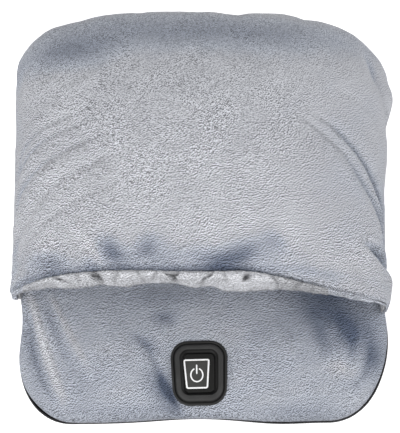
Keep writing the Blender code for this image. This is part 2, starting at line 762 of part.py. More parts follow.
def make_hood(root):
    """The hood's three layers, nested along the same normals, and the cuff round its mouth."""
    outer = net_mesh("hood_plush", HOOD_COLUMNS, HOOD_ROWS, hood_place)
    add_hood_folds(outer)
    batting = sunk_mesh("hood_batting", outer, PLUSH_THICKNESS + LAYER_GAP, held_front=True)
    lining = sunk_mesh("hood_lining", batting, HOOD_BATTING_THICKNESS + LAYER_GAP, held_front=True)
    trim = add_cutter(
        "inner_trim", box_mesh("inner_trim", 2 * PAD_WIDTH, 2 * PAD_LENGTH, -OVERRUN, HOOD_BOTTOM), root)
    for name, mesh, thickness, finish in (
            ("hood_batting", batting, HOOD_BATTING_THICKNESS, "fill"),
            ("hood_lining", lining, LINING_THICKNESS, "lining")):
        layer = add(name, mesh, root, materials[finish])
        give_thickness(layer, thickness)
        combine(layer, trim, "DIFFERENCE")
    hang_skirt(outer)
    plush = add("hood_plush", outer, root, materials["plush"])
    outer.shade_smooth()
    give_thickness(plush, PLUSH_THICKNESS)
    combine(plush, hem_cut, "DIFFERENCE")
    combine(plush, surround_hole, "DIFFERENCE")
    make_cuff(root, PLUSH_THICKNESS + HOOD_BATTING_THICKNESS + LINING_THICKNESS + 2 * LAYER_GAP)


def make_cuff(root, wall):
    """The turned-out lining: a roll along the mouth's edge that covers the wall, pinched at its gathers.

    Its cross-section is an ellipse, half as high as the wall with a little over, and as deep along Y as
    the roll is thick there.
    """
    s = np.linspace(-1, 1, CUFF_POINTS * 8)
    arch = hood_place(s, np.full(len(s), -1.0))
    arch = arch[arch[:, 2] > HOOD_BOTTOM]
    arch = even_points(arch, CUFF_POINTS)
    slopes = np.gradient(arch, axis=0)
    outward = np.column_stack([-slopes[:, 2], np.zeros(CUFF_POINTS), slopes[:, 0]])
    outward /= np.linalg.norm(outward, axis=1)[:, None]
    side = np.linspace(-1, 1, CUFF_POINTS)
    end_depth = np.where(side < 0, CUFF_LEFT_DEPTH, CUFF_RIGHT_DEPTH)
    depth = CUFF_DEPTH + (end_depth - CUFF_DEPTH) * side ** 4
    pinch = np.zeros(CUFF_POINTS)
    for gather in GATHER_SHARES:
        pinch += np.exp(-((arch[:, 0] - gather * PAD_WIDTH / 2) / CUFF_GATHER_WIDTH) ** 2)
    depth = depth - CUFF_GATHER_DEPTH * pinch
    height = wall + 2 * CUFF_PROUD * (1 - pinch / 2)
    middle = arch - outward * (wall / 2)
    middle[:, 1] = MOUTH - GAP - depth / 2
    rings = []
    for place, out, ring_height, ring_depth in zip(middle, outward, height, depth):
        around = np.linspace(0, 2 * math.pi, CUFF_SIDES, endpoint=False)
        ring = place + np.outer(np.cos(around) * ring_height / 2, out)
        ring[:, 1] -= np.sin(around) * ring_depth / 2
        rings.append(ring)
    cuff = add("cuff", loft_mesh("cuff", rings), root, materials["lining"])
    smooth(cuff.data)


def make_controller():
    """The tablet in the apron: bezel, button, housing, cover, board and what the board carries."""
    slope = BEZEL_LIP_WIDTH + BEZEL_RIM_WIDTH
    well = slope + BEZEL_SLOPE_WIDTH
    rim_top = BEZEL_BOTTOM + BEZEL_RIM_HEIGHT
    skirt_inset = HOUSING_INSET + FIT
    profile = (
        (0, BEZEL_BOTTOM),
        (0, BEZEL_BOTTOM + BEZEL_LIP_HEIGHT / 2),
        (BEZEL_LIP_HEIGHT / 2, BEZEL_BOTTOM + BEZEL_LIP_HEIGHT),
        (BEZEL_LIP_WIDTH, BEZEL_BOTTOM + BEZEL_LIP_HEIGHT),
        (BEZEL_LIP_WIDTH + BEZEL_RIM_ROUND / 4, rim_top - BEZEL_RIM_ROUND),
        (BEZEL_LIP_WIDTH + BEZEL_RIM_ROUND, rim_top),
        (slope - BEZEL_RIM_ROUND / 2, rim_top),
        (slope, rim_top - BEZEL_RIM_ROUND / 2),
        (well, BUTTON_TOP),
        (well, DECK_TOP + GAP),
        (skirt_inset, DECK_TOP + GAP),
        (skirt_inset, BEZEL_BOTTOM),
    )
    rings = [tablet_ring(inset, height) for inset, height in profile]
    bezel = add("controller_bezel", loft_mesh("controller_bezel", rings, True), tablet,
                materials["rubber"])
    smooth(bezel.data)

    cap_inset = well + FIT
    cap = add(
        "power_button",
        loft_mesh("power_button", [
            tablet_ring(cap_inset, BUTTON_BOTTOM - BUTTON_TOP),
            tablet_ring(cap_inset, -BUTTON_EDGE),
            tablet_ring(cap_inset + BUTTON_EDGE, 0),
        ]),
        tablet, materials["cap"], (0, 0, BUTTON_TOP))
    stem = add_cutter(
        "button_stem",
        cylinder_mesh("button_stem", BUTTON_STEM_RADIUS, STEM_BOTTOM, BUTTON_BOTTOM + BUTTON_THICKNESS / 2),
        tablet)
    combine(cap, stem, "UNION")

    housing = add(
        "controller_housing",
        tablet_solid("controller_housing", HOUSING_INSET, COVER_TOP + GAP, DECK_TOP),
        tablet, materials["case"])
    cavity = add_cutter(
        "housing_cavity",
        tablet_solid("housing_cavity", HOUSING_INSET + HOUSING_WALL, COVER_TOP - OVERRUN, DECK_BOTTOM),
        tablet)
    combine(housing, cavity, "DIFFERENCE")

    cover = add(
        "controller_back_cover",
        tablet_solid("controller_back_cover", HOUSING_INSET, WIRE_BED, COVER_TOP), tablet,
        materials["case"])
    board_inset = HOUSING_INSET + HOUSING_WALL + BOARD_MARGIN
    board = add(
        "circuit_board", tablet_solid("circuit_board", board_inset, BOARD_BOTTOM, BOARD_TOP), tablet,
        materials["board"])

    post_x = TABLET_WIDTH / 2 - HOUSING_INSET - POST_FROM_SIDE
    post_y = TABLET_LENGTH / 2 - HOUSING_INSET - POST_FROM_END
    corners = [(-post_x, -post_y), (post_x, -post_y), (-post_x, post_y), (post_x, post_y)]
    screw_bottom = WIRE_BED + GAP
    head_room = screw_bottom + SCREW_HEAD_HEIGHT + GAP
    for number, (x, y) in enumerate(corners, 1):
        post = add_cutter(
            f"cover_post_{number}",
            cylinder_mesh("cover_post", POST_RADIUS, COVER_TOP - COVER_THICKNESS / 2,
                          COVER_TOP + POST_HEIGHT), tablet, (x, y, 0))
        combine(cover, post, "UNION")
        boss = add_cutter(
            f"housing_boss_{number}",
            cylinder_mesh("housing_boss", POST_RADIUS, BOARD_TOP + GAP,
                          DECK_BOTTOM + DECK_THICKNESS / 2), tablet, (x, y, 0))
        combine(housing, boss, "UNION")
        shank_hole = add_cutter(
            f"shank_hole_{number}",
            cylinder_mesh("shank_hole", SCREW_SHANK_RADIUS + GAP, WIRE_BED - OVERRUN,
                          head_room + SCREW_LENGTH, SMALL_STEPS), tablet, (x, y, 0))
        for item in (cover, board, housing):
            combine(item, shank_hole, "DIFFERENCE")
        head_hole = add_cutter(
            f"head_hole_{number}",
            cylinder_mesh("head_hole", SCREW_HEAD_RADIUS + GAP, WIRE_BED - OVERRUN, head_room), tablet,
            (x, y, 0))
        combine(cover, head_hole, "DIFFERENCE")
        screw = add(f"housing_screw_{number}", screw_mesh("housing_screw"), tablet, materials["steel"],
                    (x, y, screw_bottom))
        turn(screw, SMALL_STEPS)

    stem_hole = add_cutter(
        "stem_hole",
        cylinder_mesh("stem_hole", BUTTON_STEM_RADIUS + GAP, DECK_BOTTOM - OVERRUN, DECK_TOP + OVERRUN),
        tablet)
    combine(housing, stem_hole, "DIFFERENCE")
    for number, side in enumerate((-1, 1), 1):
        window = add_cutter(
            f"light_window_{number}",
            box_mesh("light_window", WINDOW_WIDTH, WINDOW_LENGTH, DECK_BOTTOM - OVERRUN,
                     DECK_TOP + OVERRUN), tablet, (side * WINDOW_OFFSET, 0, 0))
        combine(housing, window, "DIFFERENCE")
        led = add(
            f"indicator_led_{number}", box_mesh("indicator_led", LED_WIDTH, LED_LENGTH, 0, LED_HEIGHT),
            tablet, materials["led"], (side * WINDOW_OFFSET, 0, ON_BOARD))
        soften(led, SMALL_EDGE, 1)

    rear = TABLET_LENGTH / 2 - HOUSING_INSET
    rear_notch = add_cutter(
        "lead_notch",
        box_mesh("lead_notch", NOTCH_WIDTH, 2 * NOTCH_DEPTH, WIRE_BED - OVERRUN,
                 WIRE_BED + 2 * SPLICE_RADIUS + GAP), tablet, (0, rear, 0))
    side = TABLET_WIDTH / 2 - HOUSING_INSET
    side_notch = add_cutter(
        "power_lead_notch",
        box_mesh("power_lead_notch", 2 * SIDE_NOTCH_DEPTH, SIDE_NOTCH_WIDTH, WIRE_BED - OVERRUN,
                 WIRE_BED + 2 * SPLICE_RADIUS + GAP), tablet, (side, 0, 0))
    for item in (cover, housing):
        combine(item, rear_notch, "DIFFERENCE")
        combine(item, side_notch, "DIFFERENCE")

    body = add("switch_body", box_mesh("switch_body", SWITCH_SIZE, SWITCH_SIZE, 0, SWITCH_HEIGHT), tablet,
               materials["case"], (0, 0, ON_BOARD))
    soften(body, SMALL_EDGE, 1)
    bore = add_cutter(
        "switch_bore",
        cylinder_mesh("switch_bore", PLUNGER_RADIUS + GAP, SWITCH_HEIGHT - SWITCH_BORE_DEPTH,
                      SWITCH_HEIGHT + OVERRUN), tablet, (0, 0, ON_BOARD))
    combine(body, bore, "DIFFERENCE")
    plunger = cylinder_mesh("switch_plunger", PLUNGER_RADIUS, 0, PLUNGER_TOP - PLUNGER_BOTTOM)
    add("switch_plunger", plunger, tablet, materials["cap"], (0, 0, PLUNGER_BOTTOM))
    chip = add("controller_chip", box_mesh("controller_chip", CHIP_WIDTH, CHIP_LENGTH, 0, CHIP_HEIGHT),
               tablet, materials["chip"], (0, -CHIP_OFFSET, ON_BOARD))
    soften(chip, SMALL_EDGE, 1)
    plug = add(
        "board_connector", box_mesh("board_connector", CONNECTOR_WIDTH, CONNECTOR_LENGTH, 0,
                                    CONNECTOR_HEIGHT), tablet, materials["connector"],
        (0, CONNECTOR_OFFSET, ON_BOARD))
    soften(plug, SMALL_EDGE, 1)


def heating_points():
    """The heating wire's line: straight runs joined by half turns, up and down across the pad."""
    turn_radius = WIRE_PITCH / 2
    half_turn = np.linspace(0, math.pi, TURN_STEPS + 1)
    points = []
    for run in range(WIRE_RUNS):
        x = (run - (WIRE_RUNS - 1) / 2) * WIRE_PITCH
        upward = run % 2 == 0
        start, end = (WIRE_FRONT, WIRE_REAR) if upward else (WIRE_REAR, WIRE_FRONT)
        if run == 0:
            points.append((x, start, WIRE_HEIGHT))
        if run == WIRE_RUNS - 1:
            points.append((x, end, WIRE_HEIGHT))
            break
        way = 1 if upward else -1
        points.extend(
            (x + turn_radius * (1 - math.cos(angle)), end + way * turn_radius * math.sin(angle), WIRE_HEIGHT)
            for angle in half_turn)
    return np.array(points)


def make_wiring(root):
    """The heating wire on its felt, the leads, the splice, the cut-out, the sensor and the inlet."""
    wire = heating_points()
    tube("heating_wire", wire, WIRE_RADIUS, root, materials["wire"])
    print(f"heating wire: least gap between runs {(WIRE_PITCH - 2 * WIRE_RADIUS) * 1000:.1f} mm")
    outer_run = (WIRE_RUNS - 1) / 2 * WIRE_PITCH
    splice_rear = WIRE_FRONT - GAP
    splice_front = splice_rear - SPLICE_LENGTH
    splice = [(-outer_run, splice_rear, WIRE_HEIGHT), (-outer_run, splice_front, WIRE_HEIGHT)]
    tube("lead_splice", splice, SPLICE_RADIUS, root, materials["brass"])
    cutout_front = splice_rear - CUTOUT_LENGTH
    cutout = add(
        "thermal_cutout",
        box_mesh("thermal_cutout", CUTOUT_WIDTH, CUTOUT_LENGTH, -SPLICE_RADIUS, SPLICE_RADIUS), root,
        materials["steel"], (outer_run, splice_rear - CUTOUT_LENGTH / 2, WIRE_HEIGHT))
    soften(cutout, SMALL_EDGE, 1)

    housing_rear = TABLET_MIDDLE + TABLET_LENGTH / 2 - HOUSING_INSET
    lead_end = housing_rear - NOTCH_DEPTH + LEAD_RADIUS
    bend_y = (housing_rear + cutout_front) / 2
    for name, side, start in (
            ("heater_lead", -1, splice_front - GAP), ("return_lead", 1, cutout_front - GAP)):
        route = smooth_route(
            [(side * outer_run, start, WIRE_HEIGHT), (side * outer_run, bend_y, WIRE_HEIGHT),
             (side * LEAD_SPACING, bend_y, WIRE_HEIGHT), (side * LEAD_SPACING, lead_end, WIRE_HEIGHT)],
            LEAD_BEND, LEAD_POINTS)
        tube(name, route, LEAD_RADIUS, root, materials["lead"])
    sensor_y = lead_end + SENSOR_REACH
    tube("sensor_lead", [(0, lead_end, WIRE_HEIGHT), (0, sensor_y, WIRE_HEIGHT)], SENSOR_LEAD_RADIUS,
         root, materials["lead"])
    bead = [(0, sensor_y + GAP, WIRE_HEIGHT), (0, sensor_y + GAP + SENSOR_LENGTH, WIRE_HEIGHT)]
    tube("temperature_sensor", bead, SPLICE_RADIUS, root, materials["chip"])

    lead_side = PAD_WIDTH / 2 - POWER_LEAD_SIDE
    lead_rear = PAD_REAR - POWER_LEAD_END
    socket_back = SOCKET_FRONT - SOCKET_LENGTH
    tablet_side = TABLET_WIDTH / 2 - HOUSING_INSET
    route = smooth_route(
        [(0, socket_back - GAP, WIRE_HEIGHT), (0, lead_rear, WIRE_HEIGHT),
         (lead_side * POWER_LEAD_CORNER_SHARE, lead_rear, WIRE_HEIGHT), (lead_side, WIRE_REAR, WIRE_HEIGHT),
         (lead_side, TABLET_MIDDLE, WIRE_HEIGHT),
         (tablet_side - SIDE_NOTCH_DEPTH + 2 * LEAD_RADIUS, TABLET_MIDDLE, WIRE_HEIGHT)],
        LEAD_BEND, 2 * LEAD_POINTS)
    tube("power_lead", route, LEAD_RADIUS, root, materials["lead"])


def make_inlet(root):
    """The inlet in the toe end: a socket with its pin, in a moulded surround."""
    socket = add(
        "inlet_socket",
        box_mesh("inlet_socket", SOCKET_WIDTH, SOCKET_LENGTH, -SOCKET_HEIGHT / 2, SOCKET_HEIGHT / 2), root,
        materials["case"], (0, SOCKET_FRONT - SOCKET_LENGTH / 2, WIRE_HEIGHT))
    soften(socket, SMALL_EDGE, 1)
    bore = add_cutter(
        "socket_bore", cylinder_mesh("socket_bore", SOCKET_BORE_RADIUS, -SOCKET_BORE_DEPTH, OVERRUN), root,
        (0, SOCKET_FRONT, WIRE_HEIGHT))
    bore.rotation_euler = (-QUARTER, 0, 0)
    combine(socket, bore, "DIFFERENCE")
    pin_foot = GAP - SOCKET_BORE_DEPTH
    pin = add("inlet_pin", cylinder_mesh("inlet_pin", PIN_RADIUS, pin_foot, pin_foot + PIN_LENGTH,
                                         SMALL_STEPS), root, materials["brass"],
              (0, SOCKET_FRONT, WIRE_HEIGHT))
    pin.rotation_euler = (-QUARTER, 0, 0)

    width, height = surround_size()
    middle = (SURROUND_BACK + SURROUND_FRONT) / 2
    surround = add(
        "inlet_surround",
        box_mesh("inlet_surround", width, SURROUND_FRONT - SURROUND_BACK, -height / 2, height / 2), root,
        materials["rubber"], (0, middle, WIRE_HEIGHT))
    soften(surround, SURROUND_EDGE)
    window = add_cutter(
        "socket_window",
        box_mesh("socket_window", SOCKET_WIDTH + 2 * GAP, SURROUND_FRONT - SURROUND_BACK + 2 * OVERRUN,
                 -SOCKET_HEIGHT / 2 - GAP, SOCKET_HEIGHT / 2 + GAP), root, (0, middle, WIRE_HEIGHT))
    combine(surround, window, "DIFFERENCE")


def surround_size():
    """Width and height of the inlet's surround. It stands on the black rim's height, level with the plush."""
    wall = 2 * (SURROUND_WALL + GAP)
    return SOCKET_WIDTH + wall, 2 * (WIRE_HEIGHT - PLUSH_EDGE)


def make_surround_hole(root):
    """The hole for the inlet's surround through the cloth of the pad and the hood."""
    width, height = surround_size()
    return add_cutter(
        "surround_hole",
        box_mesh("surround_hole", width + 2 * GAP, SURROUND_FRONT - SURROUND_BACK + 4 * OVERRUN,
                 -height / 2 - 2 * GAP, height / 2 + GAP), root,
        (0, (SURROUND_BACK + SURROUND_FRONT) / 2, WIRE_HEIGHT))


clear_scene()
parts = new_collection("foot_warmer")
cutters = new_collection("cutters")
materials = {
    "base": new_material("black under-cloth", BLACK_CLOTH, 0.9),
    "plush": new_material("blue-grey plush", PLUSH_BLUE, 0.95),
    "lining": new_material("light lining", LINING_GREY, 0.95),
    "fill": new_material("white fill", FILL_WHITE, 0.95),
    "foam": new_material("grey foam", FOAM_GREY, 0.9),
    "foil": new_material("foil", FOIL_SILVER, 0.3, 1.0),
    "felt": new_material("felt", FELT_CREAM, 0.95),
    "wire": new_material("heating wire", WIRE_RED, 0.5),
    "lead": new_material("lead", LEAD_BLACK, 0.5),
    "rubber": new_material("soft black rubber", RUBBER_BLACK, 0.6),
    "cap": new_material("button cap", CAP_BLACK, 0.45),
    "case": new_material("moulded case", CASE_BLACK, 0.5),
    "board": new_material("circuit board", BOARD_GREEN, 0.5),
    "chip": new_material("chip", CHIP_BLACK, 0.4),
    "led": new_material("light", LED_WHITE, 0.3),
    "connector": new_material("connector", CONNECTOR_CREAM, 0.5),
    "steel": new_material("steel", STEEL, 0.35, 1.0),
    "brass": new_material("brass", BRASS, 0.35, 1.0),
}
footprint = empty("footprint", None, (0, -MIDDLE_SHIFT, 0))
tablet = empty("tablet", footprint, (0, TABLET_MIDDLE, 0), TABLET_TURN)
surround_hole = make_surround_hole(footprint)
hem_cut = add_cutter(
    "hem_cut", box_mesh("hem_cut", 2 * PAD_WIDTH, 2 * PAD_LENGTH, -OVERRUN, PLUSH_EDGE), footprint)
make_pad(footprint)
make_hood(footprint)
make_controller()
make_wiring(footprint)
make_inlet(footprint)
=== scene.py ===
"""Electric foot warmer: the cloth, the cuff, the controller's face and the finishes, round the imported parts.

Metres, +Z up, the toes at +Y. Surfaces are worked out with numpy as grids, and each formula is given where
it is used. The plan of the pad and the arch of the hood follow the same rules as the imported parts.
"""
import math

import bpy
import numpy as np
from bpy.props import FloatProperty, FloatVectorProperty, PointerProperty
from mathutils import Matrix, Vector


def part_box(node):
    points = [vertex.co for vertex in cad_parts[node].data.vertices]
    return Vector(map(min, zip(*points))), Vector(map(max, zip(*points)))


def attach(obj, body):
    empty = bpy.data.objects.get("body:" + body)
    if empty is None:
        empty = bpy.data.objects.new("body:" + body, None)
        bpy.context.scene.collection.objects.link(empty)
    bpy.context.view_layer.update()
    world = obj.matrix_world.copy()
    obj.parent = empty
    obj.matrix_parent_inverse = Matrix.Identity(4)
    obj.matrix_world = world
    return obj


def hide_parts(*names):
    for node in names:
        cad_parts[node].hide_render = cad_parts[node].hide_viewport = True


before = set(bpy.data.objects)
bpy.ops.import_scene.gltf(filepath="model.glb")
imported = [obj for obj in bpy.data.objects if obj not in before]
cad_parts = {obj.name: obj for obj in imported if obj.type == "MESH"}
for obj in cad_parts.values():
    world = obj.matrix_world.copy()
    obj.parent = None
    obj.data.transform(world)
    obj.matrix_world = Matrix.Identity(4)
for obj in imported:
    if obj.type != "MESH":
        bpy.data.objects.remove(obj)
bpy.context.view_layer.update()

bl_info = {
    "name": "Electric foot warmer",
    "version": (1, 0, 0),
    "blender": (4, 5, 0),
    "location": "3D View > Sidebar > Foot warmer",
    "description": "Makes the plush, the cuff, the controller and the finishes of an electric foot warmer",
    "category": "Add Mesh",
}

# The plan of the pad and the heights of its layers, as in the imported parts.
PAD_WIDTH = 0.278
PAD_LENGTH = 0.3175
FRONT_CORNER = (0.042, 0.052)
REAR_CORNER = (0.105, 0.050)
FRONT_DIP = 0.004
FRONT_DIP_REACH = 0.045
PAD_MIDDLE = -0.00125
RIM_TOP = 0.006
PLUSH_EDGE = 0.0063
PAD_SHOULDER = 0.0213
PAD_ROLL = 0.0125
PAD_CROWN = 0.0024
BATTING_BOTTOM = 0.014
MOUTH = -0.06225
HOOD_FOOT = 0.0208
HOOD_RISE = 0.0914
HOOD_GROWTH = 0.0023
HOOD_WALL = 0.0139
HOOD_PUFF = 0.0036
HOOD_PUFF_REACH = 0.042
HOOD_SWELL = 0.0026
HOOD_SWELL_REACH = 0.025
HOOD_SWELLS = ((-0.1154, -0.0270), (-0.1084, 0.0889), (0.1195, -0.0349), (0.1084, 0.0921), (0.0917, 0.0159))
TABLET_MIDDLE = -0.12195
TABLET_TURN = math.radians(1.5)
TABLET_SIZE = (0.0438, 0.0496)
TABLET_CORNER = 0.0137
TABLET_TAPER = 0.09
INLET_HEIGHT = 0.0122
# The printed outline on the button: its middle, its widths at the toe side and in front, and its length. The
# ring of the sign has a middle and two radii, and its bar stands on the ring's upright.
OUTLINE_MIDDLE = (-0.0019, -0.0006)
OUTLINE_SIZE = (0.0186, 0.0152, 0.0214)
OUTLINE_CORNER = 0.0012
OUTLINE_LINE = 0.00125
RING_MIDDLE = (-0.0019, -0.0014)
RING_RADII = (0.0045, 0.0051)
RING_ANGLES = (math.radians(118), math.radians(422))
BAR_ENDS = (-0.0002, 0.0060)
SIGN_LINE = 0.00110
# How far the button's flat middle lies under the highest edge of its cap.
CAP_DIP = 0.0004
QUARTER = math.pi / 2
DOT_PITCH = 0.0095
DOT_RADIUS = 0.0018
DOT_HEIGHT = 0.0007
STRANDS = 9000

# Rows and columns of the nets: fine ones for the cloth that shows, and coarse ones that the fill settles.
TRAY_NET = (95, 85)
PAD_NET = (203, 187)
PAD_SETTLING_NET = (57, 51)
PAD_FILL_NET = (89, 81)
HOOD_NET = (177, 265)
HOOD_SETTLING_NET = (57, 67)
HOOD_CROWDING = 1.5
CUFF_NET = (601, 56)
SETTLING_FRAMES = 20

# Area lamps as name, place, size and power, the strengths of the sky and of the floor's glow, and the camera.
LAMPS = (
    ("key light", (-0.40, -0.80, 1.25), 0.6, 13.5),
    ("right light", (1.10, 0.10, 0.80), 0.8, 9.6),
    ("left light", (-1.10, 0.30, 0.80), 0.8, 5.0),
)
LAMPS_AIM = (0, 0, 0.04)
SKY_STRENGTH = 0.38
FLOOR_COLOUR = (0.86, 0.86, 0.87, 1)
FLOOR_GLOW = 0.66
CAMERA_AIM = (0.0005, -0.0090, 0.05)
CAMERA_RISE = math.radians(74.9)
CAMERA_DISTANCE = 2.0
CAMERA_LENS = 221.3

# Creases of the hood as paths over its surface, each with its widths to the left and right of the path and
# its depth; a depth below 0 is a ridge.
HOOD_FOLDS = (
    (((-.142, .012, .026), (-.139, .032, .048), (-.134, .041, .059), (-.125, .046, .068),
      (-.115, .052, .076), (-.100, .057, .084), (-.087, .060, .089), (-.070, .064, .093)), .0028, .0026,
      .0020),
    (((-.138, .022, .048), (-.129, .037, .065), (-.120, .043, .073), (-.111, .047, .079),
      (-.096, .052, .087), (-.080, .056, .091)), .0024, .0024, -.0009),
    (((-.143, -.006, .022), (-.141, .014, .040), (-.135, .027, .058), (-.127, .034, .067),
      (-.118, .040, .075), (-.104, .046, .084), (-.085, .052, .091), (-.066, .057, .095)), .0030, .0028,
      .0028),
    (((-.144, -.040, .020), (-.141, -.012, .042), (-.134, .007, .060), (-.125, .016, .071),
      (-.114, .024, .080), (-.100, .031, .088), (-.081, .038, .095), (-.056, .044, .100)), .0036, .0030,
      .0028),
    (((-.136, -.010, .056), (-.120, .009, .076), (-.109, .015, .084), (-.088, .025, .094),
      (-.066, .032, .099)), .0036, .0036, -.0010),
    (((-.142, -.054, .030), (-.137, -.034, .052), (-.129, -.020, .069), (-.120, -.008, .077),
      (-.109, .003, .084), (-.091, .014, .094), (-.065, .024, .101), (-.042, .030, .104)), .0042, .0038,
      .0025),
    (((-.136, -.058, .050), (-.132, -.044, .064), (-.122, -.031, .076), (-.110, -.022, .085),
      (-.093, -.011, .094), (-.073, -.002, .102), (-.050, .006, .105)), .0044, .0044, .0018),
    (((-.136, .046, .050), (-.126, .058, .060), (-.110, .068, .070)), .0034, .0034, .0012),
    (((-.087, -.067, .098), (-.082, -.061, .100), (-.076, -.053, .102), (-.068, -.046, .104),
      (-.058, -.036, .106)), .0026, .0026, -.0018),
    (((.056, .062, .097), (.066, .058, .095), (.079, .052, .093), (.088, .045, .091), (.100, .034, .087),
      (.111, .023, .082), (.121, .009, .075), (.131, -.006, .066), (.137, -.017, .056),
      (.141, -.030, .042), (.144, -.046, .022), (.144, -.056, .010)), .0026, .0024, .0026),
    (((.080, .054, .092), (.091, .047, .089), (.103, .038, .085), (.114, .027, .079), (.123, .015, .073),
      (.130, .004, .065), (.136, -.005, .057), (.142, -.020, .040)), .0018, .0018, -.0012),
    (((.078, .062, .091), (.088, .056, .089), (.100, .049, .085), (.109, .040, .081), (.118, .031, .075),
      (.126, .020, .069), (.133, .009, .061), (.138, .001, .052), (.142, -.014, .036), (.144, -.034, .018),
      (.144, -.050, .004)), .0026, .0022, .0042),
    (((.098, .040, .087), (.111, .026, .081), (.125, .009, .071), (.138, -.014, .050),
      (.144, -.040, .020)), .0120, .0120, .0014),
    (((.088, .030, .092), (.104, .017, .085), (.116, .003, .077), (.125, -.010, .069),
      (.138, -.034, .044)), .0050, .0060, -.0016),
    (((.095, .083, .079), (.105, .078, .076), (.118, .073, .070), (.130, .064, .060), (.137, .053, .050)),
      .0030, .0030, .0010),
    (((.120, .120, .052), (.129, .112, .052), (.136, .099, .050), (.140, .085, .046), (.143, .069, .038),
      (.144, .052, .028), (.144, .034, .018)), .0044, .0070, .0044),
    (((.144, -.056, .002), (.1465, -.053, .016), (.145, -.048, .034), (.140, -.043, .052),
      (.128, -.038, .072), (.112, -.034, .086)), .0034, .0042, .0050),
    (((-.144, .020, .014), (-.144, .029, .030), (-.138, .027, .051), (-.126, .030, .068)), .0034, .0034,
      .0022),
    (((-.100, .072, .081), (-.080, .085, .085), (-.063, .097, .085)), .0040, .0040, -.0010),
    (((.020, .136, .058), (.034, .112, .076), (.040, .094, .086)), .0080, .0080, .0008),
    (((-.050, .128, .058), (-.066, .108, .072), (-.080, .088, .082)), .0080, .0080, .0010),
    (((-.136, .070, .040), (-.129, .086, .050), (-.116, .098, .060)), .0050, .0050, .0014),
)
# The pad's soft unevenness: height, length, seed, how far in from the edge it starts, and over what width.
# The finest puckers of the plush have a height and a length.
PAD_LUMPS = ((0.0007, 0.042, 11, 0.002, 0.02), (0.00020, 0.013, 12, 0.001, 0.01))
PUCKERS = (0.00005, 0.0052)
# The under-cloth's turned-up edge as heights and places out, and the hood's side from the foot of its arch to
# its hem, as shares of the way down and places out.
TRAY_EDGE = ((0.0006, 0.0002), (0.0014, 0.0005), (0.0030, 0.0006), (0.0046, 0.0005), (0.0058, 0.0002),
             (0.0061, -0.0004))
HOOD_SIDE = ((0.10, 0.0002), (0.22, 0.0004), (0.34, 0.0005), (0.46, 0.0005), (0.58, 0.0004), (0.70, 0.0002),
             (0.80, -0.0001), (0.88, -0.0005), (0.94, -0.0009), (1.0, -0.0014))
# A strand of the cuff from root to tip: shares of its length and of its radius.
STRAND_RINGS = ((0.0, 0.8), (0.35, 1.0), (0.7, 0.75), (1.0, 0.15))
# Across the controller's frame from its outer edge, as places in and heights: lip, groove, raised rim with
# rounded shoulders, slope and underside. Its shades scale the colour by place in: 0.6 on the lip, and painted
# shade in the groove and on the slope.
FRAME_SECTION = (
    (0.0000, 0.0216), (0.0000, 0.0219), (0.0002, 0.0223), (0.0006, 0.02250), (0.0014, 0.02252),
    (0.0018, 0.02246), (0.0020, 0.0222), (0.0022, 0.02195), (0.0026, 0.02195), (0.0028, 0.0223),
    (0.0030, 0.0234), (0.0034, 0.0241), (0.0040, 0.02450), (0.0048, 0.0246), (0.0068, 0.0246),
    (0.0072, 0.02450), (0.00745, 0.0242), (0.0076, 0.0238), (0.0086, 0.0232), (0.00955, 0.0229),
    (0.0096, 0.0225), (0.0096, 0.0212), (0.0035, 0.0212), (0.0031, 0.0216),
)
FRAME_SHADES = ((0, .60), (.0013, .60), (.0022, .06), (.0026, .06), (.0034, 1.0), (.0072, 1.0), (.0076, .03),
                (.0096, .03))

# Places where the hood's outer side stands out of or under its arch: middle, reach and height.
HOOD_LOBES = (
    ((.147, .088, .036), .021, .0056), ((-.117, .133, .046), .025, .0030),
    ((.108, .138, .046), .018, .0014), ((.082, .150, .045), .014, -.0010),
    ((-.085, .150, .045), .014, -.0012), ((.130, .118, .044), .016, -.0014),
    ((-.138, .106, .040), .018, -.0022), ((-.142, .066, .040), .022, -.0012),
    ((.143, .050, .040), .028, .0036), ((.144, .003, .048), .018, -.0022),
    ((.144, -.030, .050), .018, -.0028), ((-.144, -.046, .045), .018, -.0014),
    ((.146, -.058, .038), .009, .0018),
)

# The line of the mouth: how far the hood's edge stands before the mouth's plane, by place across.
MOUTH_PLACES = (-.141, -.118, -.103, -.085, -.070, -.050, -.025, 0, .025, .036, .048, .061, .083, .100, .120,
                .141)
MOUTH_LEADS = (.0030, .0018, .0004, .0000, .0002, .0012, .0022, .0030, .0022, .0020, .0038, .0060, .0102,
               .0130, .0138, .0126)
# The cuff's depth from its seam to its front, by place across, with its lobes and gathers.
CUFF_PLACES = (-.141, -.128, -.118, -.104, -.093, -.086, -.071, -.057, -.046, -.031, -.016, -.005, .010, .020,
               .033, .051, .062, .081, .096, .111, .121, .130, .141)
CUFF_DEPTHS = (.0026, .0032, .0042, .0076, .0094, .0102, .0078, .0108, .0092, .0070, .0084, .0100, .0086,
               .0128, .0136, .0096, .0064, .0044, .0026, .0022, .0028, .0020, .0014)
# The wall of the hood is pinched thin towards its seam, most at the sewn corner on the right.
PINCH_PLACES = (-.141, -.120, -.090, .060, .085, .100, .141)
PINCHES = (.45, .35, .10, .10, .45, .64, .68)
# Gathers of the mouth's seam: place across, width and strength.
GATHERS = ((-.099, .0045, .50), (-.073, .0050, .80), (-.019, .0048, .60), (.0045, .0050, .40),
           (.033, .0050, .50), (.064, .0060, .30))
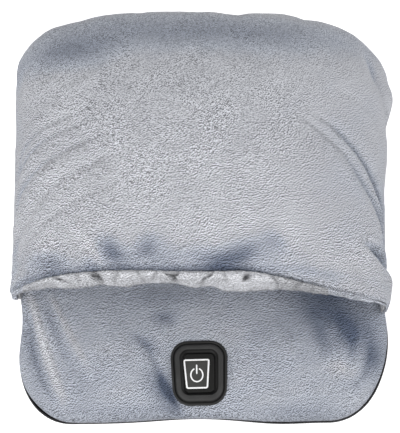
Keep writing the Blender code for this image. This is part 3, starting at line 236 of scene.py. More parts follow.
# Folds across the cuff: place, slant, widths to the left and right, depth, and how far forward they run.
CUFF_FOLDS = (
    (-.1010, 1.2, .0016, .0014, .0050, .0100), (-.0740, .50, .0036, .0012, .0080, .0100),
    (-.0600, -.30, .0020, .0020, .0020, .0130), (-.0180, -.90, .0034, .0012, .0062, .0080),
    (-.0215, .80, .0016, .0030, .0046, .0135), (.0070, -.80, .0026, .0010, .0042, .0110),
    (.0335, -.35, .0012, .0030, .0052, .0095), (.0560, .60, .0022, .0018, .0024, .0090),
    (-.1240, .80, .0020, .0016, .0022, .0060), (.0720, -.60, .0030, .0016, .0022, .0080),
    (-.0880, .30, .0026, .0024, .0018, .0110), (.0190, .20, .0028, .0018, .0020, .0120),
    (-.0430, .50, .0016, .0024, .0016, .0120), (-.0320, -.40, .0022, .0016, .0018, .0120),
)

# Ridges and creases of the apron and the pad, laid out like the hood's.
PAD_FOLDS = (
    (((-.128, -.054, .022), (-.126, -.064, .022), (-.122, -.082, .022), (-.117, -.102, .022),
      (-.110, -.121, .022), (-.102, -.138, .022), (-.088, -.154, .018)), .0026, .0034, -.0020),
    (((-.131, -.064, .021), (-.128, -.080, .021), (-.126, -.098, .022), (-.121, -.118, .022),
      (-.114, -.136, .022), (-.104, -.152, .019)), .0034, .0026, .0026),
    (((-.114, -.056, .022), (-.111, -.064, .022), (-.105, -.079, .022), (-.099, -.093, .022),
      (-.091, -.105, .022), (-.079, -.120, .022)), .0020, .0024, -.0014),
    (((-.117, -.064, .022), (-.110, -.088, .022), (-.102, -.107, .022), (-.092, -.124, .022)), .0024,
      .0022, .0014),
    (((-.036, -.076, .022), (-.026, -.081, .022), (-.014, -.086, .022)), .0040, .0040, .0014),
    (((-.052, -.090, .022), (-.044, -.098, .022), (-.037, -.106, .022), (-.030, -.123, .021),
      (-.022, -.139, .021), (-.016, -.150, .019), (-.008, -.157, .012)), .0030, .0022, .0026),
    (((-.044, -.094, .022), (-.034, -.107, .022), (-.027, -.120, .021)), .0018, .0018, -.0010),
    (((-.032, -.144, .020), (-.024, -.151, .019), (-.012, -.157, .012)), .0018, .0018, .0014),
    (((-.004, -.150, .019), (.006, -.154, .017), (.020, -.157, .010)), .0018, .0018, .0012),
    (((.082, -.068, .022), (.088, -.084, .022), (.094, -.100, .022), (.098, -.116, .022)), .0050, .0060,
      .0011),
    (((.110, -.078, .022), (.114, -.092, .022), (.115, -.108, .022), (.112, -.126, .021)), .0044, .0040,
      .0010),
    (((.130, -.094, .021), (.128, -.110, .022), (.123, -.124, .022), (.112, -.137, .021)), .0034, .0034,
      .0020),
    (((.058, -.074, .022), (.072, -.100, .022)), .0060, .0060, .0008),
    (((.104, -.128, .021), (.122, -.138, .018)), .0034, .0034, .0012),
)
# Brushed places of the pile with painted shade among them, light above 0 and dark below: middle, reach across
# and along, slant, and strength. On the hood, the dark places along the mouth's seam and across the toe end
# are painted shade.
HOOD_BRUSHING_AND_PAINTED_SHADE = (
    ((-.014, -.010), (.085, .050), 0, .05), ((-.104, -.010), (.034, .040), 0, .05),
    ((.070, -.030), (.030, .030), 0, .04), ((.100, -.020), (.030, .030), 0, -.06),
    ((.112, .030), (.036, .060), 0, -.07), ((-.098, .112), (.036, .014), .2, -.36),
    ((-.010, .130), (.110, .018), 0, -.36), ((.068, .118), (.040, .016), 0, -.10),
    ((-.111, -.056), (.014, .010), -.5, -.34), ((-.128, -.064), (.012, .004), 0, -.16),
    ((-.064, -.050), (.009, .011), -.5, -.46), ((-.038, -.048), (.009, .010), .2, -.36),
    ((-.080, -.062), (.006, .006), 0, -.22), ((.033, -.052), (.014, .011), .7, -.40),
    ((.014, -.059), (.014, .007), 0, -.28), ((.056, -.044), (.008, .008), -.4, -.26),
    ((.000, -.064), (.100, .003), 0, -.22), ((-.014, -.056), (.070, .009), 0, -.16),
    ((.090, -.068), (.020, .005), 0, -.12), ((-.076, -.052), (.004, .013), -.6, .16),
    ((-.107, .086), (.022, .008), .2, .08), ((-.114, .050), (.020, .010), .6, .04),
)
# On the apron, the dark band along the underside of the cuff is a painted shadow, and the light streaks on the
# left ridges, with the dark in the troughs beside them, are painted light and shade.
PAD_BRUSHING_AND_PAINTED_SHADE = (
    ((-.118, -.098), (.0034, .048), -.32, .22), ((-.099, -.090), (.0028, .028), -.50, .16),
    ((-.128, -.104), (.005, .036), -.25, -.18), ((-.106, -.096), (.004, .030), -.45, -.10),
    ((.085, -.070), (.024, .012), -.2, -.12), ((-.090, -.126), (.020, .016), 0, -.04),
    ((-.026, -.081), (.009, .006), .3, -.24), ((-.040, -.101), (.007, .007), -.8, -.26),
    ((-.024, -.136), (.006, .015), -.45, -.44), ((-.032, -.136), (.009, .014), -.4, -.22),
    ((.104, -.080), (.032, .022), -.3, -.38), ((.111, -.091), (.013, .013), -.4, -.16),
    ((-.022, -.066), (.028, .010), 0, -.08), ((.120, -.122), (.008, .009), 0, .12),
    ((.132, -.108), (.010, .018), 0, -.22), ((.092, -.098), (.006, .010), -.3, -.10),
    ((.128, -.118), (.007, .012), .5, -.16), ((.115, -.104), (.004, .014), 0, -.10),
    ((.105, -.119), (.009, .007), 0, .12), ((.101, -.091), (.005, .006), 0, .10),
    ((.046, -.100), (.010, .020), -.2, -.06), ((-.050, -.152), (.050, .005), 0, -.12),
    ((.070, -.152), (.040, .005), 0, -.12), ((.000, -.050), (.110, .010), 0, -.08),
    ((.108, -.062), (.034, .006), -.22, -.16), ((-.112, -.055), (.022, .006), .3, -.18),
    ((.000, -.064), (.110, .006), 0, -.06), ((-.060, -.070), (.030, .010), 0, -.05),
)


def eased(value):
    """3 v^2 - 2 v^3 between 0 and 1."""
    value = np.clip(value, 0, 1)
    return value * value * (3 - 2 * value)


def bell(value, middle, width):
    """exp(-((v - m) / w)^2): 1 at the middle, falling off over the width."""
    return np.exp(-((value - middle) / width) ** 2)


def mound(x, y, middle, reach):
    """A bell in plan: exp(-(d / reach)^2), with d the distance to its middle."""
    return np.exp(-((x - middle[0]) ** 2 + (y - middle[1]) ** 2) / reach ** 2)


def deepest(field):
    """Each value of a grid, or that of a neighbour up to two points away where it is larger."""
    rows, columns = field.shape
    wide = np.pad(field, 2, mode="edge")
    shifted = [wide[down:down + rows, over:over + columns] for down in range(5) for over in range(5)]
    return np.max(shifted, axis=0)


def ripple(points, length, seed, waves=14):
    """A soft random field: cosine waves of about one length in seeded directions, about -1 to 1 in all."""
    rng = np.random.default_rng(seed)
    total = np.zeros(points.shape[:-1])
    for _ in range(waves):
        way = rng.normal(size=3)
        way *= 2 * math.pi / (np.linalg.norm(way) * length * rng.uniform(0.7, 1.5))
        total += np.cos(points @ way + rng.uniform(0, 2 * math.pi))
    return total / math.sqrt(2 * waves)


def crease(points, normal, path, left, right):
    """A crease's share of its depth at each point, fading out at the ends of its path.

    exp(-(d / w)^1.7), with d the distance to the nearest straight piece of the path, and w its width on the
    side where the point lies, seen from outside.
    """
    path = np.array(path, float)
    steps = np.linalg.norm(np.diff(path, axis=0), axis=1)
    starts = np.concatenate([[0], np.cumsum(steps)]) / steps.sum()
    away = np.full(points.shape[:-1], np.inf)
    side = np.zeros(points.shape[:-1])
    along = np.zeros(points.shape[:-1])
    for number, (start, end) in enumerate(zip(path[:-1], path[1:])):
        run = end - start
        share = np.clip((points - start) @ run / (run @ run), 0, 1)
        gap = points - start - share[..., None] * run
        distance = np.linalg.norm(gap, axis=-1)
        turned = (np.cross(run, gap) * normal).sum(-1)
        nearer = distance < away
        side = np.where(nearer, turned, side)
        along = np.where(nearer, starts[number] + share * (starts[number + 1] - starts[number]), along)
        away = np.where(nearer, distance, away)
    fade = eased(np.minimum(along, 1 - along) / 0.22)
    return fade * np.exp(-(away / np.where(side > 0, left, right)) ** 1.7)


def soft_interp(places, knots, values):
    """Straight lines between knots, with the corners rounded by a short running mean."""
    total = 0
    for shift in (-0.0032, -0.0016, 0, 0.0016, 0.0032):
        total = total + np.interp(places + shift, knots, values)
    return total / 5


def blurred(field, times):
    """Repeated 1-2-1 means along both ways of a grid, with its border kept."""
    for _ in range(times):
        inner = field.copy()
        inner[1:-1] = (field[:-2] + 2 * field[1:-1] + field[2:]) / 4
        field = inner.copy()
        field[:, 1:-1] = (inner[:, :-2] + 2 * inner[:, 1:-1] + inner[:, 2:]) / 4
    return field


def normals_of(points):
    """Unit normals of a grid: the cross product of its slopes along columns and rows.

    A corner of the plan has no such product, and takes the mean of its neighbours.
    """
    normal = np.cross(np.gradient(points, axis=1), np.gradient(points, axis=0))
    normal /= np.maximum(np.linalg.norm(normal, axis=-1, keepdims=True), 1e-12)
    for row, near_row in ((0, 1), (-1, -2)):
        for column, near_column in ((0, 1), (-1, -2)):
            mean = normal[near_row, column] + normal[row, near_column] + normal[near_row, near_column]
            normal[row, column] = mean / np.linalg.norm(mean)
    return normal


def grid_faces(rows, columns, ring=False):
    """Quads of a grid of points, counted along its rows. With ring, the last column meets the first."""
    index = np.arange(rows * columns).reshape(rows, columns)
    if ring:
        index = np.concatenate([index, index[:, :1]], axis=1)
    quads = np.stack([index[:-1, :-1], index[:-1, 1:], index[1:, 1:], index[1:, :-1]], axis=-1)
    return quads.reshape(-1, 4)


def border_loop(rows, columns):
    """Indices up a grid's first column, along its last row and down its last column."""
    left = np.arange(rows) * columns
    top = (rows - 1) * columns + np.arange(1, columns)
    return np.concatenate([left, top, left[:-1][::-1] + columns - 1])


def hang_edge(points, faces, loop, drops):
    """Hang a strip from a loop of points: one row for each array of places in drops."""
    before = loop
    for places in drops:
        after = len(points) + np.arange(len(loop))
        points = np.concatenate([points, places])
        quads = np.column_stack([before[:-1], before[1:], after[1:], after[:-1]])
        faces = np.concatenate([faces, quads])
        before = after
    return points, faces


def new_piece(name, points, faces, material, body="warmer", values=None, ends=None):
    """Put arrays of points and faces into a mesh object that rides on a body.

    Points that no face uses are left out. values holds named numbers for each point, and ends holds further
    faces with three sides.
    """
    points = np.asarray(points, float).reshape(-1, 3)
    faces = np.asarray(faces)
    sides = np.full(len(faces), faces.shape[1])
    corners = faces.reshape(-1)
    if ends is not None:
        sides = np.concatenate([sides, np.full(len(ends), 3)])
        corners = np.concatenate([corners, ends.reshape(-1)])
    used, inverse = np.unique(corners, return_inverse=True)
    corners = inverse.reshape(-1)
    mesh = bpy.data.meshes.new(name)
    mesh.vertices.add(len(used))
    mesh.vertices.foreach_set("co", points[used].ravel())
    mesh.loops.add(len(corners))
    mesh.loops.foreach_set("vertex_index", corners.astype(np.int32))
    mesh.polygons.add(len(sides))
    mesh.polygons.foreach_set("loop_start", (np.cumsum(sides) - sides).astype(np.int32))
    mesh.update(calc_edges=True)
    for key, numbers in (values or {}).items():
        layer = mesh.attributes.new(key, "FLOAT", "POINT")
        layer.data.foreach_set("value", np.asarray(numbers, float).reshape(-1)[used])
    mesh.shade_smooth()
    mesh.materials.append(material)
    item = bpy.data.objects.new(name, mesh)
    bpy.context.scene.collection.objects.link(item)
    if body:
        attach(item, body)
    return item


def thicken(item, thickness):
    """Give a cloth surface its thickness, inwards."""
    shell = item.modifiers.new("Cloth thickness", "SOLIDIFY")
    shell.thickness = thickness
    shell.offset = -1
    shell.use_even_offset = False


def settled(points, held, press, growth, most):
    """Let Blender's Cloth settle a coarse net and give each point's move, no longer than most.

    Held points keep their place, the fill presses from below, and the cloth is growth larger than its net,
    so that it puffs and buckles between its seams.
    """
    rows, columns = points.shape[:2]
    mesh = bpy.data.meshes.new("settling cloth")
    mesh.from_pydata(points.reshape(-1, 3).tolist(), [], grid_faces(rows, columns).tolist())
    item = bpy.data.objects.new("settling cloth", mesh)
    bpy.context.scene.collection.objects.link(item)
    group = item.vertex_groups.new(name="held")
    for weight in np.unique(held):
        if weight > 0:
            group.add(np.flatnonzero(held.ravel() == weight).tolist(), float(weight), "REPLACE")
    cloth = item.modifiers.new("Cloth", "CLOTH")
    setting = cloth.settings
    setting.quality = 7
    setting.mass = 0.2
    setting.tension_stiffness = 14
    setting.compression_stiffness = 14
    setting.shear_stiffness = 6
    setting.bending_stiffness = 0.35
    setting.air_damping = 2
    setting.use_pressure = True
    setting.uniform_pressure_force = press
    setting.shrink_min = -growth
    setting.vertex_group_mass = "held"
    setting.effector_weights.gravity = 0
    cloth.point_cache.frame_start = 1
    cloth.point_cache.frame_end = SETTLING_FRAMES
    scene = bpy.context.scene
    for step in range(1, SETTLING_FRAMES + 1):
        scene.frame_set(step)
    mesh_now = item.evaluated_get(bpy.context.evaluated_depsgraph_get()).to_mesh()
    moved = np.empty(rows * columns * 3)
    mesh_now.vertices.foreach_get("co", moved)
    bpy.data.objects.remove(item)
    bpy.data.meshes.remove(mesh)
    scene.frame_set(1)
    move = moved.reshape(rows, columns, 3) - points
    length = np.linalg.norm(move, axis=-1, keepdims=True)
    return move * np.minimum(1, most / np.maximum(length, 1e-9))


def spread(coarse, rows, columns, crowd=1.0):
    """Carry a coarse grid's values to a finer one: straight lines along both ways, then smoothed."""
    here = np.linspace(0, 1, coarse.shape[0])
    place = np.clip(np.searchsorted(here, np.linspace(0, 1, rows) ** crowd) - 1, 0, len(here) - 2)
    share = ((np.linspace(0, 1, rows) ** crowd - here[place]) * (len(here) - 1))[:, None, None]
    tall = coarse[place] * (1 - share) + coarse[place + 1] * share
    here = np.linspace(0, 1, coarse.shape[1])
    place = np.clip(np.searchsorted(here, np.linspace(0, 1, columns)) - 1, 0, len(here) - 2)
    share = ((np.linspace(0, 1, columns) - here[place]) * (len(here) - 1))[None, :, None]
    return blurred(tall[:, place] * (1 - share) + tall[:, place + 1] * share, 4)


def pad_plan(x, y, growth):
    """Bend a rectangular net to the pad's plan, grown by growth, and measure to its edge.

    A corner's points (p, q), counted 0 to 1 from its inner end, move to (p sqrt(1 - q^2 / 2),
    q sqrt(1 - p^2 / 2)), so that the net's corner becomes a quarter of an ellipse. The front edge is drawn
    in a little in its middle.
    """
    half_width = PAD_WIDTH / 2 + growth
    half_length = PAD_LENGTH / 2 + growth
    width = np.where(y > 0, REAR_CORNER[0], FRONT_CORNER[0]) + growth
    depth = np.where(y > 0, REAR_CORNER[1], FRONT_CORNER[1]) + growth
    from_side = half_width - np.abs(x)
    from_end = half_length - np.abs(y)
    p = np.clip(1 - from_side / width, 0, 1)
    q = np.clip(1 - from_end / depth, 0, 1)
    reach = np.hypot(p * width, q * depth) / np.maximum(np.hypot(p, q), 0.001)
    rounded = np.sqrt(p * p + q * q - p * p * q * q)
    corner = (p > 0) & (q > 0)
    to_edge = np.where(corner, (1 - rounded) * reach, np.minimum(from_side, from_end))
    x_round = half_width - width * (1 - p * np.sqrt(1 - q * q / 2))
    y_round = half_length - depth * (1 - q * np.sqrt(1 - p * p / 2))
    x_new = np.where(corner, np.sign(x) * x_round, x)
    y_new = np.where(corner, np.sign(y) * y_round, y)
    dip = FRONT_DIP * np.exp(-(x / FRONT_DIP_REACH) ** 2)
    y_new = y_new + dip * np.clip(-y / half_length, 0, 1) ** 6
    return x_new, y_new, np.maximum(to_edge, 0)


def pad_net(rows, columns, growth=0.0, rolled=12):
    """A net over the pad's plan, with the distance to its edge.

    Its outer lines stand at r (1 - cos k) from the edge, at even angles of the edge's roll, and the others
    at even steps.
    """
    def lines(half, count):
        """Where the net's lines lie from one side of the pad, at -half, to the other."""
        inner = np.linspace(PAD_ROLL - half, half - PAD_ROLL, count - 2 * rolled)
        outer = PAD_ROLL * (1 - np.cos(np.arange(rolled) / rolled * QUARTER)) - half
        return np.concatenate([outer, inner, -outer[::-1]])

    x = lines(PAD_WIDTH / 2 + growth, columns)[None, :] * np.ones((rows, 1))
    y = lines(PAD_LENGTH / 2 + growth, rows)[:, None] * np.ones((1, columns))
    return pad_plan(x, y, growth)


def settle_plan(x, y):
    """Where the finished cloth lies in plan: the apron is drawn in on its left, in front and at a corner."""
    apron = eased((-y - 0.015) / 0.060)
    left = np.clip(-x / (PAD_WIDTH / 2), 0, 1) ** 3
    right = np.clip(x / (PAD_WIDTH / 2), 0, 1) ** 4
    front = np.clip(-y / (PAD_LENGTH / 2), 0, 1) ** 4
    corner = mound(x, y, (0.124, -0.142), 0.032)
    waist = bell(y, -0.080, 0.018)
    x_new = x + (0.0031 * apron + 0.0022 * waist) * left - 0.0010 * corner
    x_new += 0.0034 * right * bell(y, -0.092, 0.022)
    return x_new, y + (0.0022 + 0.0012 * bell(x, 0.092, 0.026)) * front + 0.0004 * corner


def pad_top(x, y, to_edge, edge=PLUSH_EDGE):
    """Height of the pad's upper side: a quarter-round roll at the edge and a low crown in the middle.

    The cloth is pressed flat under and round the controller.
    """
    inward = 1 - np.minimum(to_edge / PAD_ROLL, 1)
    roll = np.sqrt(1 - inward * inward)
    crown = (1 - (2 * x / PAD_WIDTH) ** 2) * (1 - (2 * y / PAD_LENGTH) ** 2)
    freed = eased((np.hypot(x, y - TABLET_MIDDLE) - 0.030) / 0.026)
    return edge + (PAD_SHOULDER - edge) * roll + PAD_CROWN * np.clip(crown, 0, 1) * freed


def even_steps(points, values, count, crowd=1.0):
    """Values at even steps of the length of a line of close points; crowd over 1 crowds its start."""
    steps = np.linalg.norm(np.diff(points, axis=0), axis=1)
    along = np.concatenate([[0], np.cumsum(steps)])
    return np.interp(np.linspace(0, 1, count) ** crowd * along[-1], along, values)


def hood_surface(s, t):
    """The hood's outer side over the pad, s across from -1 to 1 and t from the mouth, -1, to the toes, 1.

    Across, the arch is a superellipse: x = a sin(k s)^(2 / n), z = h cos(k s)^(2 / n). Along, its top falls
    to the toes as (1 - v^2.6)^(1 / 2), with v = 0 at the mouth. The sides bulge a little.
    """
    half_width = PAD_WIDTH / 2 + HOOD_GROWTH
    rear = PAD_LENGTH / 2 + HOOD_GROWTH
    across = np.sign(s) * np.sin(np.abs(s) * QUARTER) ** (2 / 2.3)
    arch = np.clip(np.cos(np.abs(s) * QUARTER), 0, 1) ** (2 / 2.3)
    along = np.sin((t + 1) / 2 * QUARTER) ** 1.3
    fall = np.clip(1 - along ** 2.6, 0, 1) ** 0.5
    mouth = MOUTH - soft_interp(half_width * across, MOUTH_PLACES, MOUTH_LEADS)
    x, y, _ = pad_plan(half_width * across, mouth + (rear - mouth) * along, HOOD_GROWTH)
    share = arch * fall
    bulge = (0.0026 + 0.0024 * (1 - along) ** 2) * np.sin(math.pi * share)
    x = x + bulge * np.sign(s) * np.abs(across) ** 4
    y = y + bulge * along ** 6
    return np.stack([x, y + PAD_MIDDLE, HOOD_FOOT + HOOD_RISE * share], axis=-1)


def hood_net(rows, columns, crowd=1.0):
    """The hood's outer side on a net of about even steps, or with its rows crowded at the mouth."""
    s = np.linspace(-1, 1, 2001)
    arch = hood_surface(s, np.full(len(s), -1.0))
    s = even_steps(arch, s, columns)
    t = np.linspace(-1, 1, 2001)
    side = hood_surface(np.full(len(t), 0.0), t)
    t = even_steps(side, t, rows, crowd)
    return hood_surface(s[None, :] * np.ones((rows, 1)), t[:, None] * np.ones((1, columns)))


def hood_forms(points, normal):
    """How deep the hood's main forms lie under its plain arch; the puff and the swells stand above it.

    The top puffs up behind the mouth's seam, as (1 - cos(k v)) / 2 over the puff's reach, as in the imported
    part. The creases follow their paths.
    """
    x, y, z = np.moveaxis(points, -1, 0)
    upward = np.clip(normal[..., 2], 0, 1)
    behind = np.clip((y - MOUTH) / HOOD_PUFF_REACH, 0, 1)
    lift = np.clip((z - HOOD_FOOT) / HOOD_RISE, 0, 1)
    depth = -HOOD_PUFF * (1 - np.cos(math.pi * behind)) / 2 * lift * upward
    for middle_x, middle_y in HOOD_SWELLS:
        away = np.hypot(x - middle_x, y - middle_y) / HOOD_SWELL_REACH
        depth -= HOOD_SWELL * upward * np.exp(-away ** 2)
    for middle, reach, height in HOOD_LOBES:
        depth -= height * np.exp(-((points - middle) ** 2).sum(-1) / reach ** 2)
    for path, left, right, amount in HOOD_FOLDS:
        depth += amount * looks().fold_depth * crease(points, normal, path, left, right)
    return depth


def mouth_seam(x, back, girth):
    """How deep the plush dips behind the cuff: into the seam, with a sewn line beside it and gathers behind.

    back is the distance from the mouth's edge, and girth the distance round the arch.
    """
    stitched = 0.0008 + 0.0012 * eased((-0.020 - x) / 0.040)
    seam = 0.0030 * (1 - eased(back / 0.0036)) + stitched * bell(back, 0.0032, 0.0006)
    seam = seam * (1 - 0.65 * eased((x - 0.074) / 0.026))
    gathers = ripple(np.stack([girth, back * 0.16, 0 * back], axis=-1), 0.018, 41, 10)
    seam += 0.0010 * gathers * np.exp(-back / 0.022) * (1 - np.exp(-back / 0.004))
    for place, width, strength in GATHERS:
        seam += 0.0020 * strength * np.exp(-((x - place) / (width * 1.6)) ** 2) * np.exp(-back / 0.016)
    return seam


def hood_side(rim):
    """Rows of places down the hood's side, from the foot of its arch to the hem."""
    slope = np.gradient(rim[:, :2], axis=0)
    away = np.column_stack([-slope[:, 1], slope[:, 0]])
    away /= np.maximum(np.linalg.norm(away, axis=1, keepdims=True), 1e-9)
    wave = ripple(rim, 0.030, 46) - 2.4 * bell(rim[:, 1], -0.046, 0.006) * (rim[:, 0] > 0)
    hem = PLUSH_EDGE - 0.0002
    reached = np.cumsum(np.linalg.norm(np.diff(rim, axis=0, prepend=rim[:1]), axis=1))
    corner = np.exp(-(np.minimum(reached, reached[-1] - reached) / 0.0075) ** 2)
    drops = []
    for share, out in HOOD_SIDE:
        row = rim.copy()
        row[:, :2] += away * (out + 0.0005 * wave * math.sin(math.pi * share))[:, None]
        row[:, 1] += 0.0052 * corner * share
        row[:, 2] = rim[:, 2] + (hem - rim[:, 2]) * share
        drops.append(row)
    return drops


def brushing_and_painted_shade(points, places, seed, base):
    """How light the pile is at each point, 0 to 1, from its brushing and from painted shade: named places, and
    soft streaks between them.

    The places fade out down the toe end.
    """
    x, y, z = points[..., 0], points[..., 1], points[..., 2]
    shade = np.full(x.shape, base)
    shown = 1 - eased((y - 0.09) / 0.04) * (1 - eased((z - 0.022) / 0.026))
    for (mid_x, mid_y), (across, along), slant, strength in places:
        over, up = x - mid_x, y - mid_y
        shade += shown * strength * np.exp(-((over - slant * up) / across) ** 2 - (up / along) ** 2)
    slanted = np.stack([x * 0.8 + y * 0.6, (y * 0.8 - x * 0.6) * 2.0, points[..., 2]], axis=-1)
    shade += 0.026 * ripple(slanted, 0.050, seed) + 0.010 * ripple(slanted, 0.018, seed + 1)
    return np.clip(shade, 0, 1)


def brushed_nap(points, seed):
    """How ruffled the pile is, 0 to 1: most in the middle and in front, least towards the toes."""
    x, y = points[..., 0], points[..., 1]
    nap = 0.70 - 0.60 * eased((y - 0.02) / 0.10) - 0.40 * eased((x - 0.02) / 0.10) * eased((y + 0.04) / 0.05)
    nap += 0.30 * bell(y, -0.055, 0.026)
    return np.clip(nap + 0.14 * ripple(points, 0.035, seed), 0, 1)


def add_node(tree, kind, values=None, **settings):
    """Make a shader node. values gives its inputs numbers, colours or other nodes' outputs."""
    made = tree.nodes.new(kind)
    for key, value in settings.items():
        setattr(made, key, value)
    for key, value in (values or {}).items():
        if isinstance(value, bpy.types.NodeSocket):
            tree.links.new(value, made.inputs[key])
        else:
            made.inputs[key].default_value = value
    return made


def add_math(tree, operation, *values):
    """A Math node's output."""
    return add_node(tree, "ShaderNodeMath", dict(enumerate(values)), operation=operation).outputs[0]


def new_group(name, inputs, outputs):
    """A shader node group with named sockets; inputs gives each one its kind and default."""
    if name in bpy.data.node_groups:
        return bpy.data.node_groups[name], None, None
    group = bpy.data.node_groups.new(name, "ShaderNodeTree")
    for key, (kind, value) in inputs.items():
        socket = group.interface.new_socket(name=key, in_out="INPUT", socket_type="NodeSocket" + kind)
        if value is not None:
            socket.default_value = value
    for key in outputs:
        group.interface.new_socket(name=key, in_out="OUTPUT", socket_type="NodeSocketFloat")
    return group, group.nodes.new("NodeGroupInput"), group.nodes.new("NodeGroupOutput")


def drawn_out(tree, vector, stretch, turn):
    """Coordinates turned in plan and shrunk along X, which draw a pattern out along a direction."""
    shrunk = add_node(tree, "ShaderNodeCombineXYZ", {"X": add_math(tree, "DIVIDE", 1.0, stretch), "Y": 1.0,
                                                     "Z": 1.0})
    turned = add_node(tree, "ShaderNodeVectorRotate", {"Vector": vector, "Angle": turn},
                      rotation_type="Z_AXIS")
    return add_node(tree, "ShaderNodeVectorMath", {0: turned.outputs[0], 1: shrunk.outputs[0]},
                    operation="MULTIPLY").outputs[0]


def stretched_noise(tree, vector, size, stretch, turn, detail=2.0):
    """Noise of about one size in metres, drawn out along a direction in plan."""
    return add_node(tree, "ShaderNodeTexNoise", {
        "Vector": drawn_out(tree, vector, stretch, turn), "Scale": add_math(tree, "DIVIDE", 1.0, size),
        "Detail": detail, "Roughness": 0.55}).outputs["Fac"]


def dashes(tree, vector, size, stretch, turn):
    """Even short dashes: cells of one size, drawn out along a direction in plan.

    Gives the cells' height F(p), and how light they are, lit from the front: 1/2 + F(p) - F(p + d), with
    the light sides held down, so that pits show more than crests.
    """
    ahead = add_node(tree, "ShaderNodeVectorMath", {0: vector, 1: (0.00014, -0.00042, -0.0001)},
                     operation="ADD")
    heights = []
    for place in (vector, ahead.outputs[0]):
        heights.append(add_node(tree, "ShaderNodeTexVoronoi", {
            "Vector": drawn_out(tree, place, stretch, turn), "Scale": add_math(tree, "DIVIDE", 1.0, size),
            "Randomness": 0.95}, feature="F1").outputs["Distance"])
    lit = add_math(tree, "ADD", add_math(tree, "SUBTRACT", *heights), 0.5)
    return heights[0], add_math(tree, "MINIMUM", lit, 0.70)


def fleece_group():
    """Short brushed pile: fine dashes in two directions, each leading in its own places.

    Strands gives the dashes' light and dark sides, Tufts the soft clumps, and Height dashes and clumps.
    """
    group, given, made = new_group(
        "Brushed pile", {"Vector": ("Vector", None), "Strand": ("Float", 0.0013), "Length": ("Float", 2.0),
                         "Clump": ("Float", 0.007), "Lean": ("Float", 1.4)}, ("Strands", "Tufts", "Height"))
    if given is None:
        return group
    vector, strand = given.outputs["Vector"], given.outputs["Strand"]
    length, lean = given.outputs["Length"], given.outputs["Lean"]
    first, first_lit = dashes(group, vector, strand, length, lean)
    second, second_lit = dashes(group, vector, strand, length, add_math(group, "SUBTRACT", lean, 1.1))
    places = add_node(group, "ShaderNodeTexNoise", {"Vector": vector, "Scale": 22.0, "Detail": 1.0})
    chosen = add_math(group, "MULTIPLY_ADD", places.outputs["Fac"], 6.0, -2.5)
    lit = add_node(group, "ShaderNodeMix", {0: chosen, 2: first_lit, 3: second_lit}, clamp_factor=True)
    blend = add_node(group, "ShaderNodeMix", {0: chosen, 2: first, 3: second}, clamp_factor=True)
    tufts = stretched_noise(group, vector, given.outputs["Clump"], 1.6, lean, 1.0)
    height = add_math(group, "MULTIPLY_ADD", tufts, 0.15, blend.outputs[0])
    group.links.new(lit.outputs[0], made.inputs["Strands"])
    group.links.new(tufts, made.inputs["Tufts"])
    group.links.new(height, made.inputs["Height"])
    return group


def woven_group():
    """Plain weave: two crossed sets of threads, each over the other in turn, with uneven threads."""
    group, given, made = new_group(
        "Plain weave", {"Vector": ("Vector", None), "Thread": ("Float", 0.0009)}, ("Threads", "Height"))
    if given is None:
        return group
    parts = add_node(group, "ShaderNodeSeparateXYZ", {"Vector": given.outputs["Vector"]})
    turns = add_math(group, "DIVIDE", math.pi, given.outputs["Thread"])
    along = add_math(group, "SINE", add_math(group, "MULTIPLY", parts.outputs["X"], turns))
    across = add_math(group, "SINE", add_math(group, "MULTIPLY", parts.outputs["Y"], turns))
    crossed = add_math(group, "MULTIPLY", along, across)
    uneven = add_node(group, "ShaderNodeTexNoise", {"Vector": given.outputs["Vector"], "Scale": 260.0})
    height = add_math(group, "MULTIPLY_ADD", crossed, 0.5, uneven.outputs["Fac"])
    group.links.new(uneven.outputs["Fac"], made.inputs["Threads"])
    group.links.new(height, made.inputs["Height"])
    return group


def grain_group():
    """Moulded surface: a fine even grain, with faint rubbed places. Grain and Rubbed run from 0 to 1."""
    group, given, made = new_group(
        "Moulded grain", {"Vector": ("Vector", None), "Grain": ("Float", 0.0007), "Patch": ("Float", 0.02)},
        ("Grain", "Rubbed"))
    if given is None:
        return group
    vector = given.outputs["Vector"]
    cells = add_node(group, "ShaderNodeTexVoronoi", {
        "Vector": vector, "Scale": add_math(group, "DIVIDE", 1.0, given.outputs["Grain"])},
        feature="SMOOTH_F1")
    rubbed = add_node(group, "ShaderNodeTexNoise", {
        "Vector": vector, "Scale": add_math(group, "DIVIDE", 1.0, given.outputs["Patch"]), "Detail": 4.0})
    group.links.new(cells.outputs["Distance"], made.inputs["Grain"])
    group.links.new(rubbed.outputs["Fac"], made.inputs["Rubbed"])
    return group


def start_material(name, **sockets):
    """A material with a Principled shader, its constants set on the shader's own sockets."""
    material = bpy.data.materials.new(name)
    material.use_nodes = True
    tree = material.node_tree
    shader = tree.nodes["Principled BSDF"]
    for key, value in sockets.items():
        shader.inputs[key.replace("_", " ")].default_value = value
    place = tree.nodes.new("ShaderNodeTexCoord")
    return material, tree, shader, place.outputs["Object"]


def fill_group(tree, group, values):
    """Place a node group and set or link its inputs."""
    return add_node(tree, "ShaderNodeGroup", values, node_tree=group)


def two_colours(tree, shader, mask, low, high, spread_low=0.3, spread_high=0.7):
    """Feed Base Color from a mask between two colours."""
    ramp = add_node(tree, "ShaderNodeValToRGB", {"Fac": mask})
    ramp.color_ramp.elements[0].position = spread_low
    ramp.color_ramp.elements[1].position = spread_high
    ramp.color_ramp.elements[0].color = (*low, 1)
    ramp.color_ramp.elements[1].color = (*high, 1)
    tree.links.new(ramp.outputs["Color"], shader.inputs["Base Color"])
    return ramp


